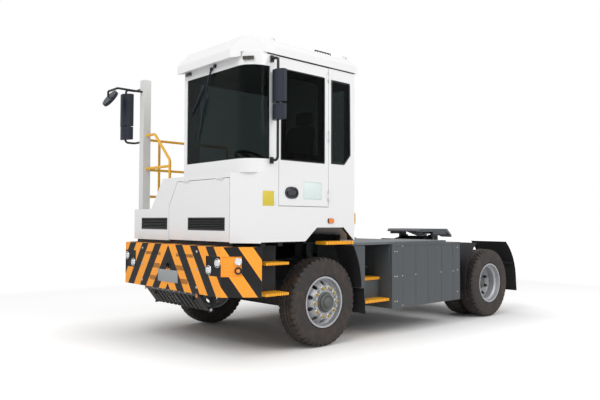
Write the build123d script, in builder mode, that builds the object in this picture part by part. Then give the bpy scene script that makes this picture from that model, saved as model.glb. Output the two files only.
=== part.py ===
from build123d import *
import os
from math import cos, pi, radians, sin

os.makedirs("parts", exist_ok=True)

# Electric terminal tractor, millimetres.
# +Z is up, the front faces -Y, the vehicle's left side is +X, the ground is Z = 0.

# Driving dimensions
overall_width = 2600.0
wheelbase = 3500.0
tyre_radius = 510.0
front_axle_y = -1382.0
side_x = overall_width / 2
rear_axle_y = front_axle_y + wheelbase

# Clearances: pieces that seat side by side, and round bores over pins
seat_gap = 0.3
bore_play = 0.15

# Wheels and tyres
tyre_width = 256.0
tyre_sides = 40
bead_radius = 282.0
bead_play = 0.1
rim_width = 236.0
rim_flange_radius = bead_radius + 10
rim_gauge = 9.0
drop_radius = bead_radius - 32
front_track_half = side_x - 213
dual_outer_x = side_x - 170
dual_spacing = 330.0
dual_inner_x = dual_outer_x - dual_spacing
hand_holes = 10
hand_hole_radius = 25.0
hand_hole_circle = 212.0
stud_circle = 167.5
stud_radius = 16.0
front_disc = 126.0
kingpin_x = front_track_half - 167

# Chassis
rail_outer_x = 425.0
rail_flange = 85.0
rail_gauge = 10.0
rail_bottom_z = tyre_radius + 190
rail_top_z = rail_bottom_z + 260
rail_front_y = front_axle_y - 1130
rail_rear_y = rear_axle_y + 550
tail_y = rail_rear_y + 30

# Lower body and cab, from the floor up
wall = 45.0
skin = 25.0
panel_gap = 6.0
skirt_bottom_z = 1215.0
floor_top_z = 1590.0
floor_gauge = 40.0
shoulder_z = floor_top_z - 10
sill_z = floor_top_z + 10
belt_z = floor_top_z + 350
screen_height = 977.0
screen_bottom_z = belt_z + 145
screen_top_z = screen_bottom_z + screen_height
eaves_z = screen_top_z + 138
roof_rise = 172.0
roof_top_z = eaves_z + roof_rise

# Cab, from its left side in and from the front axle along
cab_width = 1250.0
cab_right_x = side_x - cab_width
cab_rear_y = front_axle_y + 400
nose_front_y = front_axle_y - 1220
nose_fold_x = side_x - 260
nose_corner_y = front_axle_y - 1015
screen_y = front_axle_y - 1165
screen_corner_radius = 230.0
screen_gauge = 12.0
screen_end_y = screen_y + 260
bulkhead_y = screen_y + 65
bulkhead_end_x = side_x - 205

# Wheel arch in the side panels
arch_half_bottom = 390.0
arch_half_top = 215.0
arch_top_z = 1366.0

# Cab door, hinged at its rear edge
door_front_y = front_axle_y - 775
door_rear_y = front_axle_y - 40
door_top_z = eaves_z - 14
door_hinges = (sill_z + 120, (sill_z + door_top_z) / 2 + 7, door_top_z - 106)
hinge_x = side_x + 16
hinge_y = door_rear_y + panel_gap / 2
hinge_barrel = 10.0

# Bumper
bumper_front_y = front_axle_y - 1334
bumper_fold_x = side_x - 255
bumper_bottom_z = 652.0
bumper_top_z = bumper_bottom_z + 514
bumper_gauge = 14.0
bumper_end_y = front_axle_y - 1000

# Lift boom and fifth wheel, from the rear axle
boom_pivot = (rear_axle_y - 1350, 880.0)
boom_arm_x = 285.0
boom_gauge = 32.0
cylinder_x = 190.0
cylinder_foot = (rear_axle_y - 550, 575.0)
cylinder_head = (rear_axle_y - 400, 1020.0)
plate_pivot = (rear_axle_y - 123, 1170.0)
plate_top_z = plate_pivot[1] + 152
pin_radius = 25.0
pin_play = 7.0
barrel_radius = 52.0
rod_radius = 28.0
plate_pin = 32.0

# Battery boxes and deck
box_front_y = front_axle_y + 1112
box_rear_y = rear_axle_y - 874
box_bottom_z = 338.0
box_top_z = 1150.0
box_side_x = side_x - 10
deck_gauge = 30.0


def block(x, y, z, mode=Mode.ADD):
    """Adds a box from three (low, high) pairs."""
    with Locations(((x[0] + x[1]) / 2, (y[0] + y[1]) / 2, (z[0] + z[1]) / 2)):
        Box(x[1] - x[0], y[1] - y[0], z[1] - z[0], mode=mode)


def both(x):
    """Gives a (low, high) pair and its mirror on the other side."""
    return (x, (-x[1], -x[0]))


def shifted(points, start):
    """Moves the first value of each pair in an outline by a start value."""
    return [(start + first, second) for first, second in points]


def side_prism(points, x, mode=Mode.ADD):
    """Extrudes a (Y, Z) outline between two X values."""
    with BuildSketch(Plane.YZ.offset(x[0])) as outline:
        with BuildLine():
            Polyline(*points, close=True)
        make_face()
    extrude(outline.sketch, amount=x[1] - x[0], mode=mode)


def plan_prism(points, z, mode=Mode.ADD):
    """Extrudes an (X, Y) outline between two Z values."""
    with BuildSketch(Plane.XY.offset(z[0])) as outline:
        with BuildLine():
            Polyline(*points, close=True)
        make_face()
    extrude(outline.sketch, amount=z[1] - z[0], mode=mode)


def front_prism(points, y, mode=Mode.ADD):
    """Extrudes an (X, Z) outline backwards between two Y values."""
    with BuildSketch(Plane.XZ.offset(-y[0])) as outline:
        with BuildLine():
            Polyline(*points, close=True)
        make_face()
    extrude(outline.sketch, amount=y[0] - y[1], mode=mode)


def bar(start, end, radius, mode=Mode.ADD):
    """Adds a round bar between two points."""
    axis = Vector(*end) - Vector(*start)
    with BuildSketch(Plane(origin=start, z_dir=axis)) as section:
        Circle(radius)
    extrude(section.sketch, amount=axis.length, mode=mode)


def tube_run(points, radius, bend=60.0):
    """Adds a round tube along straight runs joined by bends."""
    with BuildLine() as route:
        FilletPolyline(*points, radius=bend)
    start = route.wires()[0]
    with BuildSketch(Plane(origin=start @ 0, z_dir=start % 0)) as section:
        Circle(radius)
    sweep(section.sketch, path=start)


def on_arc(centre, radius, degrees):
    """Gives the (Y, Z) point on a circle at an angle from the rearward direction."""
    angle = radians(degrees)
    return (centre[0] + radius * cos(angle), centre[1] + radius * sin(angle))


def arc_band(centre, radius, gauge, degrees, x):
    """Adds a curved sheet between two angles and two X values."""
    first, last = degrees
    middle = (first + last) / 2
    with BuildSketch(Plane.YZ.offset(x[0])) as outline:
        with BuildLine():
            inner = [on_arc(centre, radius, angle) for angle in (first, middle, last)]
            outer = [on_arc(centre, radius + gauge, angle) for angle in (last, middle, first)]
            ThreePointArc(*inner)
            Line(inner[2], outer[0])
            ThreePointArc(*outer)
            Line(outer[2], inner[0])
        make_face()
    extrude(outline.sketch, amount=x[1] - x[0])


# Ladder frame: two rails, each a web with two flanges, the cross members and the boom pivot shaft
cross_members = (
    # y, half length along Y, bottom Z, top Z
    (front_axle_y - 1040, 40.0, 720.0, 940.0),
    (front_axle_y - 420, 45.0, 760.0, 940.0),
    (boom_pivot[0] - 1390, 45.0, 720.0, 940.0),
    (boom_pivot[0] - 350, 45.0, 720.0, 820.0),
    (cylinder_foot[0] - 110, 40.0, 720.0, 860.0),
    (rail_rear_y - 45, 35.0, 720.0, 940.0),
)
shaft_radius = 40.0
cheek_gauge = 20.0
cheek_gap = 60.0
foot_y, foot_z = cylinder_foot
with BuildPart() as chassis_frame:
    web = rail_outer_x - rail_gauge - seat_gap
    for x in both((rail_outer_x - rail_gauge, rail_outer_x)):
        block(x, (rail_front_y, rail_rear_y), (rail_bottom_z, rail_top_z))
    for x in both((rail_outer_x - rail_flange, web)):
        for low in (rail_bottom_z, rail_top_z - rail_gauge):
            block(x, (rail_front_y, rail_rear_y), (low, low + rail_gauge))
    for y, half, low, high in cross_members:
        block((-web, web), (y - half, y + half), (low, high))
    bar((-web, *boom_pivot), (web, *boom_pivot), shaft_radius)
    foot_cheek = (
        (foot_y - 90, 720.0),
        (foot_y - 90, 855.0),
        (foot_y + 40, foot_z + 40),
        (foot_y + 40, foot_z - 50),
        (foot_y - 40, foot_z - 50),
    )
    for x in (cylinder_x, -cylinder_x):
        for low in (x - cheek_gap - cheek_gauge, x + cheek_gap):
            side_prism(foot_cheek, (low, low + cheek_gauge))
        pin_end = cheek_gap + cheek_gauge
        bar((x - pin_end, foot_y, foot_z), (x + pin_end, foot_y, foot_z), pin_radius)
    tail_half = rail_outer_x + 60
    tail_plate_y = (rail_rear_y + seat_gap, tail_y)
    block((-tail_half, tail_half), tail_plate_y, (rail_bottom_z - 60, rail_top_z))
chassis_frame.part.label = "chassis_frame"
export_step(chassis_frame.part, "parts/chassis_frame.step")

# Front bumper: a chamfered plate channel with a tow hole, and recesses for the lamps
bumper_plan = (
    (-side_x, bumper_end_y),
    (-bumper_fold_x, bumper_front_y),
    (bumper_fold_x, bumper_front_y),
    (side_x, bumper_end_y),
)
bumper_inner_plan = (
    (-side_x + 18, bumper_end_y + 5),
    (-side_x + 18, bumper_end_y + 3),
    (-bumper_fold_x + 6, bumper_front_y + bumper_gauge),
    (bumper_fold_x - 6, bumper_front_y + bumper_gauge),
    (side_x - 18, bumper_end_y + 3),
    (side_x - 18, bumper_end_y + 5),
)
bumper_arm_x = (rail_outer_x - 70, rail_outer_x)
tow_z = 928.0
tow_radius = 32.0
recess_x = (bumper_fold_x - 272, bumper_fold_x - 12)
recess_z = (862.0, 1068.0)
recess_depth = 6.0
facet_recess = (12.0, 214.0)
facet_run = ((side_x - bumper_fold_x) ** 2 + (bumper_end_y - bumper_front_y) ** 2) ** 0.5
facet_x = (side_x - bumper_fold_x) / facet_run
facet_y = (bumper_end_y - bumper_front_y) / facet_run


def on_facet(side, distance, proud):
    """Gives the (X, Y) point at a distance along a bumper facet and proud of its face."""
    x = bumper_fold_x + facet_x * distance + facet_y * proud
    y = bumper_front_y + facet_y * distance - facet_x * proud
    return (side * x, y)


with BuildPart() as front_bumper:
    plan_prism(bumper_plan, (bumper_bottom_z, bumper_top_z))
    plan_prism(bumper_inner_plan, (bumper_bottom_z - 5, bumper_top_z - bumper_gauge), Mode.SUBTRACT)
    for x in both(bumper_arm_x):
        block(x, (bumper_front_y + bumper_gauge, rail_front_y), (rail_bottom_z, rail_top_z))
    tow_end_y = bumper_front_y + bumper_gauge + 5
    bar((0, bumper_front_y - 5, tow_z), (0, tow_end_y, tow_z), tow_radius, Mode.SUBTRACT)
    for x in both(recess_x):
        block(x, (bumper_front_y - 1, bumper_front_y + recess_depth), recess_z, Mode.SUBTRACT)
    for side in (1, -1):
        low, high = facet_recess
        facet_cut = (
            on_facet(side, low, 1),
            on_facet(side, high, 1),
            on_facet(side, high, -recess_depth),
            on_facet(side, low, -recess_depth),
        )
        plan_prism(facet_cut, recess_z, Mode.SUBTRACT)
front_bumper.part.label = "front_bumper"
export_step(front_bumper.part, "parts/front_bumper.step")

# Guard under the bumper: sloping bars between two side plates, with a strut at each end
guard_top = (bumper_front_y + 40, 632.0)
guard_foot = (bumper_front_y + 184, 446.0)
guard_half = 455.0
guard_bars = 10
guard_bar_half = 27.0
guard_gauge = 12.0
guard_plate_width = 125.0
strut_gauge = 12.0
strut_y = front_axle_y - 1030
guard_slope = (
    guard_top,
    guard_foot,
    (guard_foot[0] + guard_gauge, guard_foot[1] + 7),
    (guard_top[0] + guard_gauge, guard_top[1] + 7),
)
with BuildPart() as front_guard:
    for step in range(guard_bars):
        middle = guard_half * (2 * step + 1 - guard_bars) / guard_bars
        side_prism(guard_slope, (middle - guard_bar_half, middle + guard_bar_half))
    plate_end = guard_half + guard_plate_width
    for x in both((guard_half, plate_end)):
        side_prism(guard_slope, x)
    top_y, top_z = guard_top
    block((-plate_end, plate_end), (top_y - 10, top_y + 34), (top_z - 8, top_z + 18))
    rod_y, rod_z = guard_foot[0] + 8, guard_foot[1] + 16
    bar((-plate_end, rod_y, rod_z), (plate_end, rod_y, rod_z), 10.0)
    strut = (
        (guard_foot[0] - 12, guard_foot[1] - 12),
        (guard_foot[0] + 34, guard_foot[1] - 12),
        (strut_y + 22, 790.0),
        (strut_y - 22, 790.0),
    )
    for x in both((plate_end, plate_end + strut_gauge)):
        side_prism(strut, x)
    for x in both((rail_outer_x, plate_end + strut_gauge)):
        block(x, (strut_y - 22, strut_y + 22), (740, 790))
    for x in both((rail_outer_x - 20, rail_outer_x)):
        block(x, (bumper_front_y + 60, bumper_front_y + 200), (560, rail_bottom_z))
front_guard.part.label = "front_guard"
export_step(front_guard.part, "parts/front_guard.step")

# Lamps: in the bumper's recesses, over the screen, on the cab's sides and at the tail
lamp_proud = 8.0
face_lamps = (
    # distance in from the fold, z
    (56.0, 1000.0),
    (214.0, 921.0),
)
facet_lamps = (
    # distance along the facet, z
    (178.0, 1018.0),
    (178.0, 924.0),
)
corner_angle = 37.0
corner_lamp_z = (eaves_z - 90, eaves_z - 56)
with BuildPart() as lamps:
    for side in (1, -1):
        with BuildSketch(Plane.XZ.offset(-(bumper_front_y + recess_depth))) as ovals:
            for inset, z in face_lamps:
                with Locations((side * (bumper_fold_x - inset), z)):
                    SlotOverall(84, 60)
        extrude(ovals.sketch, amount=recess_depth + lamp_proud)
        for distance, z in facet_lamps:
            start = on_facet(side, distance, -recess_depth)
            end = on_facet(side, distance, lamp_proud)
            bar((*start, z), (*end, z), 29.0)
        wall_x = (side_x, side_x + 16) if side > 0 else (-side_x - 16, -side_x)
        block(wall_x, (front_axle_y - 24, front_axle_y + 24), (1416, 1462))
    for x in both((290.0, 415.0)):
        block(x, (tail_y, tail_y + 30), (770, 870))
    block((cab_right_x + 45, cab_right_x + 145), (screen_y - 22, screen_y), corner_lamp_z)
    corner_reach = screen_corner_radius + 12.0 + seat_gap
    corner_place = (
        side_x - screen_corner_radius + corner_reach * sin(radians(corner_angle)),
        screen_y + screen_corner_radius - corner_reach * cos(radians(corner_angle)),
        sum(corner_lamp_z) / 2,
    )
    with Locations(Location(corner_place, (0, 0, corner_angle))):
        Box(120, 24, corner_lamp_z[1] - corner_lamp_z[0])
lamps.part.label = "lamps"
export_step(lamps.part, "parts/lamps.step")

# Step frames: at the front corners, and in the bay ahead of each battery box
corner_tread_z = (660.0, 985.0)
corner_step_y = (front_axle_y - 918, front_axle_y - 605)
corner_step_x = (side_x - 254, side_x - 28)
bay_front_y = front_axle_y + 640
bay_panel = 15.0
bay_back_x = (688.0, 700.0)
bay_floor_z = 400.0
bay_top_z = box_top_z - 20
low_tread_x = (side_x - 270, side_x - 50)
low_tread_z = (438.0, 472.0)
high_tread_x = (side_x - 420, side_x - 200)
high_tread_y = (front_axle_y + 800, front_axle_y + 1092)
high_tread_z = (697.0, 733.0)
shelf_z = ((560.0, 585.0), (835.0, 860.0))
shelf_x = (bay_back_x[1] + seat_gap, side_x - 415)
guard_centre = (front_axle_y - 430, 641.0)
guard_radius = 985.0
guard_sheet = 6.0
guard_top_angle = 30.8
with BuildPart() as step_frames:
    for x in both((corner_step_x[0] - 16, corner_step_x[0] - seat_gap)):
        block(x, corner_step_y, (640, bumper_top_z))
    for x in both((rail_outer_x, corner_step_x[0] - 16 - seat_gap)):
        block(x, (corner_step_y[0], corner_step_y[0] + 18), (760, 900))
    for x in both((rail_outer_x, side_x - 60)):
        block(x, (bay_front_y, bay_front_y + bay_panel), (bay_floor_z, bay_top_z))
    bay_y = (bay_front_y + bay_panel + seat_gap, box_front_y)
    for x in both(bay_back_x):
        block(x, bay_y, (bay_floor_z, bay_top_z))
    for x in both(shelf_x):
        for z in shelf_z:
            block(x, bay_y, z)
    for x in both((high_tread_x[0] + 15, high_tread_x[1] - 15)):
        block(x, high_tread_y, (low_tread_z[1] + seat_gap, high_tread_z[0] - seat_gap))
    for x in both((side_x - 300, side_x - 50)):
        block(x, (box_front_y - 12, box_front_y), (bay_floor_z, bay_top_z))
    for x in both((side_x - 340, side_x - 50)):
        with BuildSketch(Plane.YZ.offset(x[0])) as housing:
            with BuildLine():
                reach = guard_radius + guard_sheet + seat_gap
                curve = [on_arc(guard_centre, reach, angle) for angle in (guard_top_angle - 0.3, 15, 0)]
                ThreePointArc(*curve)
                back_y = bay_front_y - seat_gap
                Polyline(curve[2], (curve[2][0], 630), (back_y, 630), (back_y, curve[0][1]), curve[0])
            make_face()
        extrude(housing.sketch, amount=x[1] - x[0])
step_frames.part.label = "step_frames"
export_step(step_frames.part, "parts/step_frames.step")

# Step treads with a toothed outer edge
tooth_pitch = 26.0
tooth_gap = 11.0
tooth_depth = 12.0


def tread(side, x, y, z):
    """Adds one tread whose outer edge is cut into teeth."""
    span = x if side > 0 else (-x[1], -x[0])
    block(span, y, z)
    count = int((y[1] - y[0] - 20) / tooth_pitch)
    with Locations((side * x[1], (y[0] + y[1]) / 2, (z[0] + z[1]) / 2)):
        with GridLocations(1, tooth_pitch, 1, count):
            Box(2 * tooth_depth, tooth_gap, z[1] - z[0] + 2, mode=Mode.SUBTRACT)


deck_tread_y = (front_axle_y - 40, front_axle_y + 410 - seat_gap)
deck_tread_x = (side_x - 205, side_x - 25)
with BuildPart() as step_treads:
    for side in (1, -1):
        for z in corner_tread_z:
            tread(side, corner_step_x, corner_step_y, (z - 14, z + 14))
        low_y = (bay_front_y + bay_panel + seat_gap, box_front_y - 12 - seat_gap)
        tread(side, low_tread_x, low_y, low_tread_z)
        tread(side, high_tread_x, high_tread_y, high_tread_z)
        tread(side, deck_tread_x, deck_tread_y, (1168.0, 1206.0))
step_treads.part.label = "step_treads"
export_step(step_treads.part, "parts/step_treads.step")

# Mudguards: a curved sheet and a flap behind each front wheel, two quarters over each rear pair
rear_guard_x = (side_x - 650, side_x - 28)
rear_guards = (
    # centre Y, centre Z, radius, angles at the two ends
    (rear_axle_y, 545.0, 700.0, (124.5, 181.0)),
    (rear_axle_y, 520.0, 745.0, (0.0, 54.0)),
)
stay_radius = 18.0
stay_z = 780.0
with BuildPart() as mudguards:
    for x in both((side_x - 350, side_x - 30)):
        arc_band(guard_centre, guard_radius, guard_sheet, (0, guard_top_angle), x)
        flap = ((600, 630), (606, 630), (634, 322), (628, 322))
        side_prism(shifted(flap, front_axle_y), x)
    for x in both(rear_guard_x):
        for centre_y, centre_z, radius, angles in rear_guards:
            arc_band((centre_y, centre_z), radius, guard_sheet, angles, x)
        rear_flap = ((745, 522), (751, 522), (768, 340), (762, 340))
        side_prism(shifted(rear_flap, rear_axle_y), x)
    for centre_y, centre_z, radius, angles in rear_guards:
        back = 1 if angles[0] == 0 else -1
        rise = stay_z - centre_z
        stay_reach = radius - stay_radius + 3
        stay_y = centre_y + back * (stay_reach ** 2 - rise ** 2) ** 0.5
        for side in (1, -1):
            bar((side * rail_outer_x, stay_y, stay_z), (side * (side_x - 60), stay_y, stay_z), stay_radius)
    for x in both((rail_outer_x, rail_outer_x + 30)):
        block(x, (tail_y, rear_axle_y + 700), (stay_z - 18, stay_z + 18))
mudguards.part.label = "mudguards"
export_step(mudguards.part, "parts/mudguards.step")

# Battery boxes, one on each side of the frame, with panel seams and a top lip
box_seams = (0.142, 0.322, 0.495, 0.701, 0.882)
seam_width = 5.0
with BuildPart() as battery_boxes:
    for side in (1, -1):
        x = (rail_outer_x, box_side_x) if side > 0 else (-box_side_x, -rail_outer_x)
        block(x, (box_front_y, box_rear_y), (box_bottom_z, box_top_z))
        lip = (box_side_x, box_side_x + 6) if side > 0 else (-box_side_x - 6, -box_side_x)
        block(lip, (box_front_y, box_rear_y), (box_top_z - 22, box_top_z))
        seam_x = (box_side_x - 4, box_side_x + 1) if side > 0 else (-box_side_x - 1, -box_side_x + 4)
        for share in box_seams:
            y = box_front_y + share * (box_rear_y - box_front_y)
            seam_z = (box_bottom_z - 1, box_top_z - 22)
            block(seam_x, (y, y + seam_width), seam_z, Mode.SUBTRACT)
battery_boxes.part.label = "battery_boxes"
export_step(battery_boxes.part, "parts/battery_boxes.step")

# Deck plates on the boxes and over the frame, with a row of drain holes along each edge
deck_front_y = front_axle_y + 410
deck_edge_x = side_x - 40
drain_radius = 11.0
drain_pitch = 56.0
with BuildPart() as deck_plates:
    side_deck_y = (deck_front_y, box_rear_y - 300)
    for x in both((rail_outer_x, deck_edge_x)):
        block(x, side_deck_y, (box_top_z, box_top_z + deck_gauge))
    middle_deck_y = (deck_front_y, boom_pivot[0] - 130)
    block((-rail_outer_x, rail_outer_x), middle_deck_y, (box_top_z, box_top_z + deck_gauge))
    for x in both((rail_outer_x - 60, rail_outer_x - 10)):
        for y in (deck_front_y + 90, middle_deck_y[1] - 120):
            block(x, (y, y + 60), (rail_top_z, box_top_z))
    drains = int((side_deck_y[1] - side_deck_y[0] - 60) / drain_pitch)
    for x in (deck_edge_x - 40, 40 - deck_edge_x):
        with Locations((x, sum(side_deck_y) / 2, box_top_z + deck_gauge / 2)):
            with GridLocations(1, drain_pitch, 1, drains):
                Cylinder(drain_radius, deck_gauge + 2, mode=Mode.SUBTRACT)
deck_plates.part.label = "deck_plates"
export_step(deck_plates.part, "parts/deck_plates.step")

# Front axle beam on its leaf springs
spring_x = (345.0, 415.0)
front_spring = (
    (-640, rail_bottom_z - 40),
    (-300, rail_bottom_z - 110),
    (300, rail_bottom_z - 110),
    (640, rail_bottom_z - 40),
    (640, rail_bottom_z),
    (560, rail_bottom_z),
    (300, rail_bottom_z - 70),
    (-300, rail_bottom_z - 70),
    (-560, rail_bottom_z),
    (-640, rail_bottom_z),
)
beam_end = kingpin_x - 70
with BuildPart() as front_axle:
    block((-beam_end, beam_end), (front_axle_y - 45, front_axle_y + 45), (tyre_radius - 90, tyre_radius - 10))
    for x in (kingpin_x, -kingpin_x):
        bar((x, front_axle_y, tyre_radius - 70), (x, front_axle_y, tyre_radius + 20), 52.0)
        inner = (x - 75, x - 40) if x > 0 else (x + 40, x + 75)
        block(inner, (front_axle_y - 45, front_axle_y + 45), (tyre_radius - 70, tyre_radius + 20))
        bar((x, front_axle_y, tyre_radius - 100), (x, front_axle_y, tyre_radius + 60), 24.0)
    for x in both(spring_x):
        side_prism(shifted(front_spring, front_axle_y), x)
        pad_y = (front_axle_y - 60, front_axle_y + 60)
        block(x, pad_y, (tyre_radius - 10 + seat_gap, rail_bottom_z - 100))
front_axle.part.label = "front_axle"
export_step(front_axle.part, "parts/front_axle.step")

# Rear drive axle, its springs, and the drive motor with its shaft
spindle_radius = 45.0
axle_tube_radius = 75.0
spindle_end_x = dual_outer_x - 200
casing_radius = 205.0
casing_gap = 1.2
rear_spring = (
    (-530, rail_bottom_z - 30),
    (-260, rail_bottom_z - 75),
    (260, rail_bottom_z - 75),
    (530, rail_bottom_z - 30),
    (530, rail_bottom_z),
    (460, rail_bottom_z),
    (260, rail_bottom_z - 35),
    (-260, rail_bottom_z - 35),
    (-460, rail_bottom_z),
    (-530, rail_bottom_z),
)
with BuildPart() as rear_axle:
    tube_start = casing_radius + seat_gap
    tube_end = dual_inner_x - 140
    for x in both(spring_x):
        side_prism(shifted(rear_spring, rear_axle_y), x)
        block(x, (rear_axle_y - 70, rear_axle_y + 70), (tyre_radius + 40, rail_bottom_z - 70))
    saddle = ((-tube_end, rear_axle_y, tyre_radius), (tube_end, rear_axle_y, tyre_radius))
    bar(*saddle, axle_tube_radius + seat_gap, Mode.SUBTRACT)
    for side in (1, -1):
        start = (side * tube_start, rear_axle_y, tyre_radius)
        bar(start, (side * tube_end, rear_axle_y, tyre_radius), axle_tube_radius)
        bar(start, (side * spindle_end_x, rear_axle_y, tyre_radius), spindle_radius)
    with Locations((0, rear_axle_y, tyre_radius)):
        Sphere(casing_radius)
rear_axle.part.label = "rear_axle"
export_step(rear_axle.part, "parts/rear_axle.step")

motor_y = (boom_pivot[0] - 1150, boom_pivot[0] - 530)
motor_z = 640.0
with BuildPart() as drive_motor:
    bar((0, motor_y[0], motor_z), (0, motor_y[1], motor_z), 215.0)
    bar((0, motor_y[1], motor_z), (0, motor_y[1] + 120, motor_z), 78.0)
    shaft_end = (0, rear_axle_y - casing_radius - casing_gap, tyre_radius)
    bar((0, motor_y[1] + 110, motor_z - 5), shaft_end, 42.0)
    hanger = rail_outer_x - rail_gauge
    for y in (motor_y[0] + 50, motor_y[1] - 100):
        block((-hanger, hanger), (y, y + 50), (720, 770))
drive_motor.part.label = "drive_motor"
export_step(drive_motor.part, "parts/drive_motor.step")

# Lift boom: two arms, a cross tube and the plate's pivot shaft
pivot_y, pivot_z = boom_pivot
head_y, head_z = cylinder_head
top_y, top_z = plate_pivot
boom_side = (
    (pivot_y - 70, pivot_z - 40),
    (pivot_y - 40, pivot_z + 75),
    (top_y - 120, top_z + 20),
    (top_y - 60, top_z + 55),
    (top_y + 60, top_z + 55),
    (top_y + 60, top_z - 60),
    (head_y, head_z - 75),
    (pivot_y - 30, pivot_z - 70),
)
shaft_end_x = boom_arm_x + 62
with BuildPart() as lift_boom:
    for x in both((boom_arm_x - boom_gauge, boom_arm_x)):
        side_prism(boom_side, x)
    bar((-shaft_end_x, top_y, top_z), (shaft_end_x, top_y, top_z), plate_pin)
    block((-boom_arm_x, boom_arm_x), (pivot_y + 260, pivot_y + 360), (pivot_z + 10, pivot_z + 90))
    bar((-boom_arm_x, head_y, head_z), (boom_arm_x, head_y, head_z), pin_radius)
    bore_end = boom_arm_x + 10
    bar((-bore_end, pivot_y, pivot_z), (bore_end, pivot_y, pivot_z), shaft_radius + 1, Mode.SUBTRACT)
lift_boom.part.label = "lift_boom"
export_step(lift_boom.part, "parts/lift_boom.step")

# Lift cylinders: barrels on the frame's pins, rods reaching the boom's pin
run_y = head_y - foot_y
run_z = head_z - foot_z
run = (run_y * run_y + run_z * run_z) ** 0.5
unit_y = run_y / run
unit_z = run_z / run


def along(distance, x):
    """Gives the point on a cylinder's axis at a distance from its foot pin."""
    return (x, foot_y + unit_y * distance, foot_z + unit_z * distance)


with BuildPart() as lift_barrels:
    for x in (cylinder_x, -cylinder_x):
        eye = cheek_gap - 2
        bar((x - eye, foot_y, foot_z), (x + eye, foot_y, foot_z), 48.0)
        bar(along(30, x), along(395, x), barrel_radius)
        eye_bore = ((x - eye - 2, foot_y, foot_z), (x + eye + 2, foot_y, foot_z))
        bar(*eye_bore, pin_radius + seat_gap, Mode.SUBTRACT)
        bar(along(45, x), along(400, x), rod_radius + 0.5, Mode.SUBTRACT)
lift_barrels.part.label = "lift_barrels"
export_step(lift_barrels.part, "parts/lift_barrels.step")

with BuildPart() as lift_rods:
    for x in (cylinder_x, -cylinder_x):
        bar(along(50, x), along(run - 34, x), rod_radius)
        bar((x - 32, head_y, head_z), (x + 32, head_y, head_z), 46.0)
        bar((x - 40, head_y, head_z), (x + 40, head_y, head_z), pin_radius + pin_play, Mode.SUBTRACT)
lift_rods.part.label = "lift_rods"
export_step(lift_rods.part, "parts/lift_rods.step")

# Fifth wheel: a horseshoe casting with sloping ramps at its rear, ribs and pivot brackets
plate_half = 435.0
plate_front = 420.0
plate_rear = 460.0
throat_half = 42.0
plate_gauge = 45.0
plate_plan = (
    (-plate_half + 130, top_y - plate_front),
    (plate_half - 130, top_y - plate_front),
    (plate_half, top_y - 200),
    (plate_half, top_y + 180),
    (plate_half - 90, top_y + plate_rear),
    (150, top_y + plate_rear),
    (throat_half, top_y + 140),
    (throat_half, top_y - 20),
    (-throat_half, top_y - 20),
    (-throat_half, top_y + 140),
    (-150, top_y + plate_rear),
    (-plate_half + 90, top_y + plate_rear),
    (-plate_half, top_y + 180),
    (-plate_half, top_y - 200),
)
plate_side = (
    (top_y - plate_front - 1, plate_top_z - 28),
    (top_y - plate_front + 60, plate_top_z),
    (top_y + 215, plate_top_z),
    (top_y + plate_rear + 1, plate_top_z - 105),
    (top_y + plate_rear + 1, plate_top_z - 140),
    (top_y + 195, plate_top_z - plate_gauge),
    (top_y - plate_front - 1, plate_top_z - plate_gauge),
)
bracket_x = (boom_arm_x + 12, boom_arm_x + 60)
with BuildPart() as fifth_wheel:
    plan_prism(plate_plan, (plate_top_z - 150, plate_top_z + 10))
    side_prism(plate_side, (-plate_half - 5, plate_half + 5), Mode.INTERSECT)
    for x in both(bracket_x):
        block(x, (top_y - 70, top_y + 70), (top_z - 55, plate_top_z - plate_gauge + 5))
        rib_z = (plate_top_z - 80, plate_top_z - plate_gauge + 5)
        block(x, (top_y - 290, top_y - 70), rib_z)
    for x in both((plate_half - 32, plate_half)):
        block(x, (top_y - 190, top_y + 175), (plate_top_z - 88, plate_top_z - plate_gauge + 5))
    for x in both((bracket_x[1], plate_half - 32)):
        for y in (top_y - 60, top_y + 40):
            block(x, (y, y + 20), (plate_top_z - 88, plate_top_z - plate_gauge + 5))
    bore_end = boom_arm_x + 70
    bar((-bore_end, top_y, top_z), (bore_end, top_y, top_z), plate_pin + 0.08, Mode.SUBTRACT)
fifth_wheel.part.label = "fifth_wheel"
export_step(fifth_wheel.part, "parts/fifth_wheel.step")

# Cab floor with its front bulkhead
floor_plan = (
    (cab_right_x, bulkhead_y),
    (bulkhead_end_x, bulkhead_y),
    (side_x - wall, nose_corner_y),
    (side_x - wall, cab_rear_y),
    (cab_right_x, cab_rear_y),
)
with BuildPart() as cab_floor:
    plan_prism(floor_plan, (floor_top_z - floor_gauge, floor_top_z))
    block((cab_right_x + wall, bulkhead_end_x), (bulkhead_y, bulkhead_y + 30), (floor_top_z, belt_z))
cab_floor.part.label = "cab_floor"
export_step(cab_floor.part, "parts/cab_floor.step")

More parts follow.
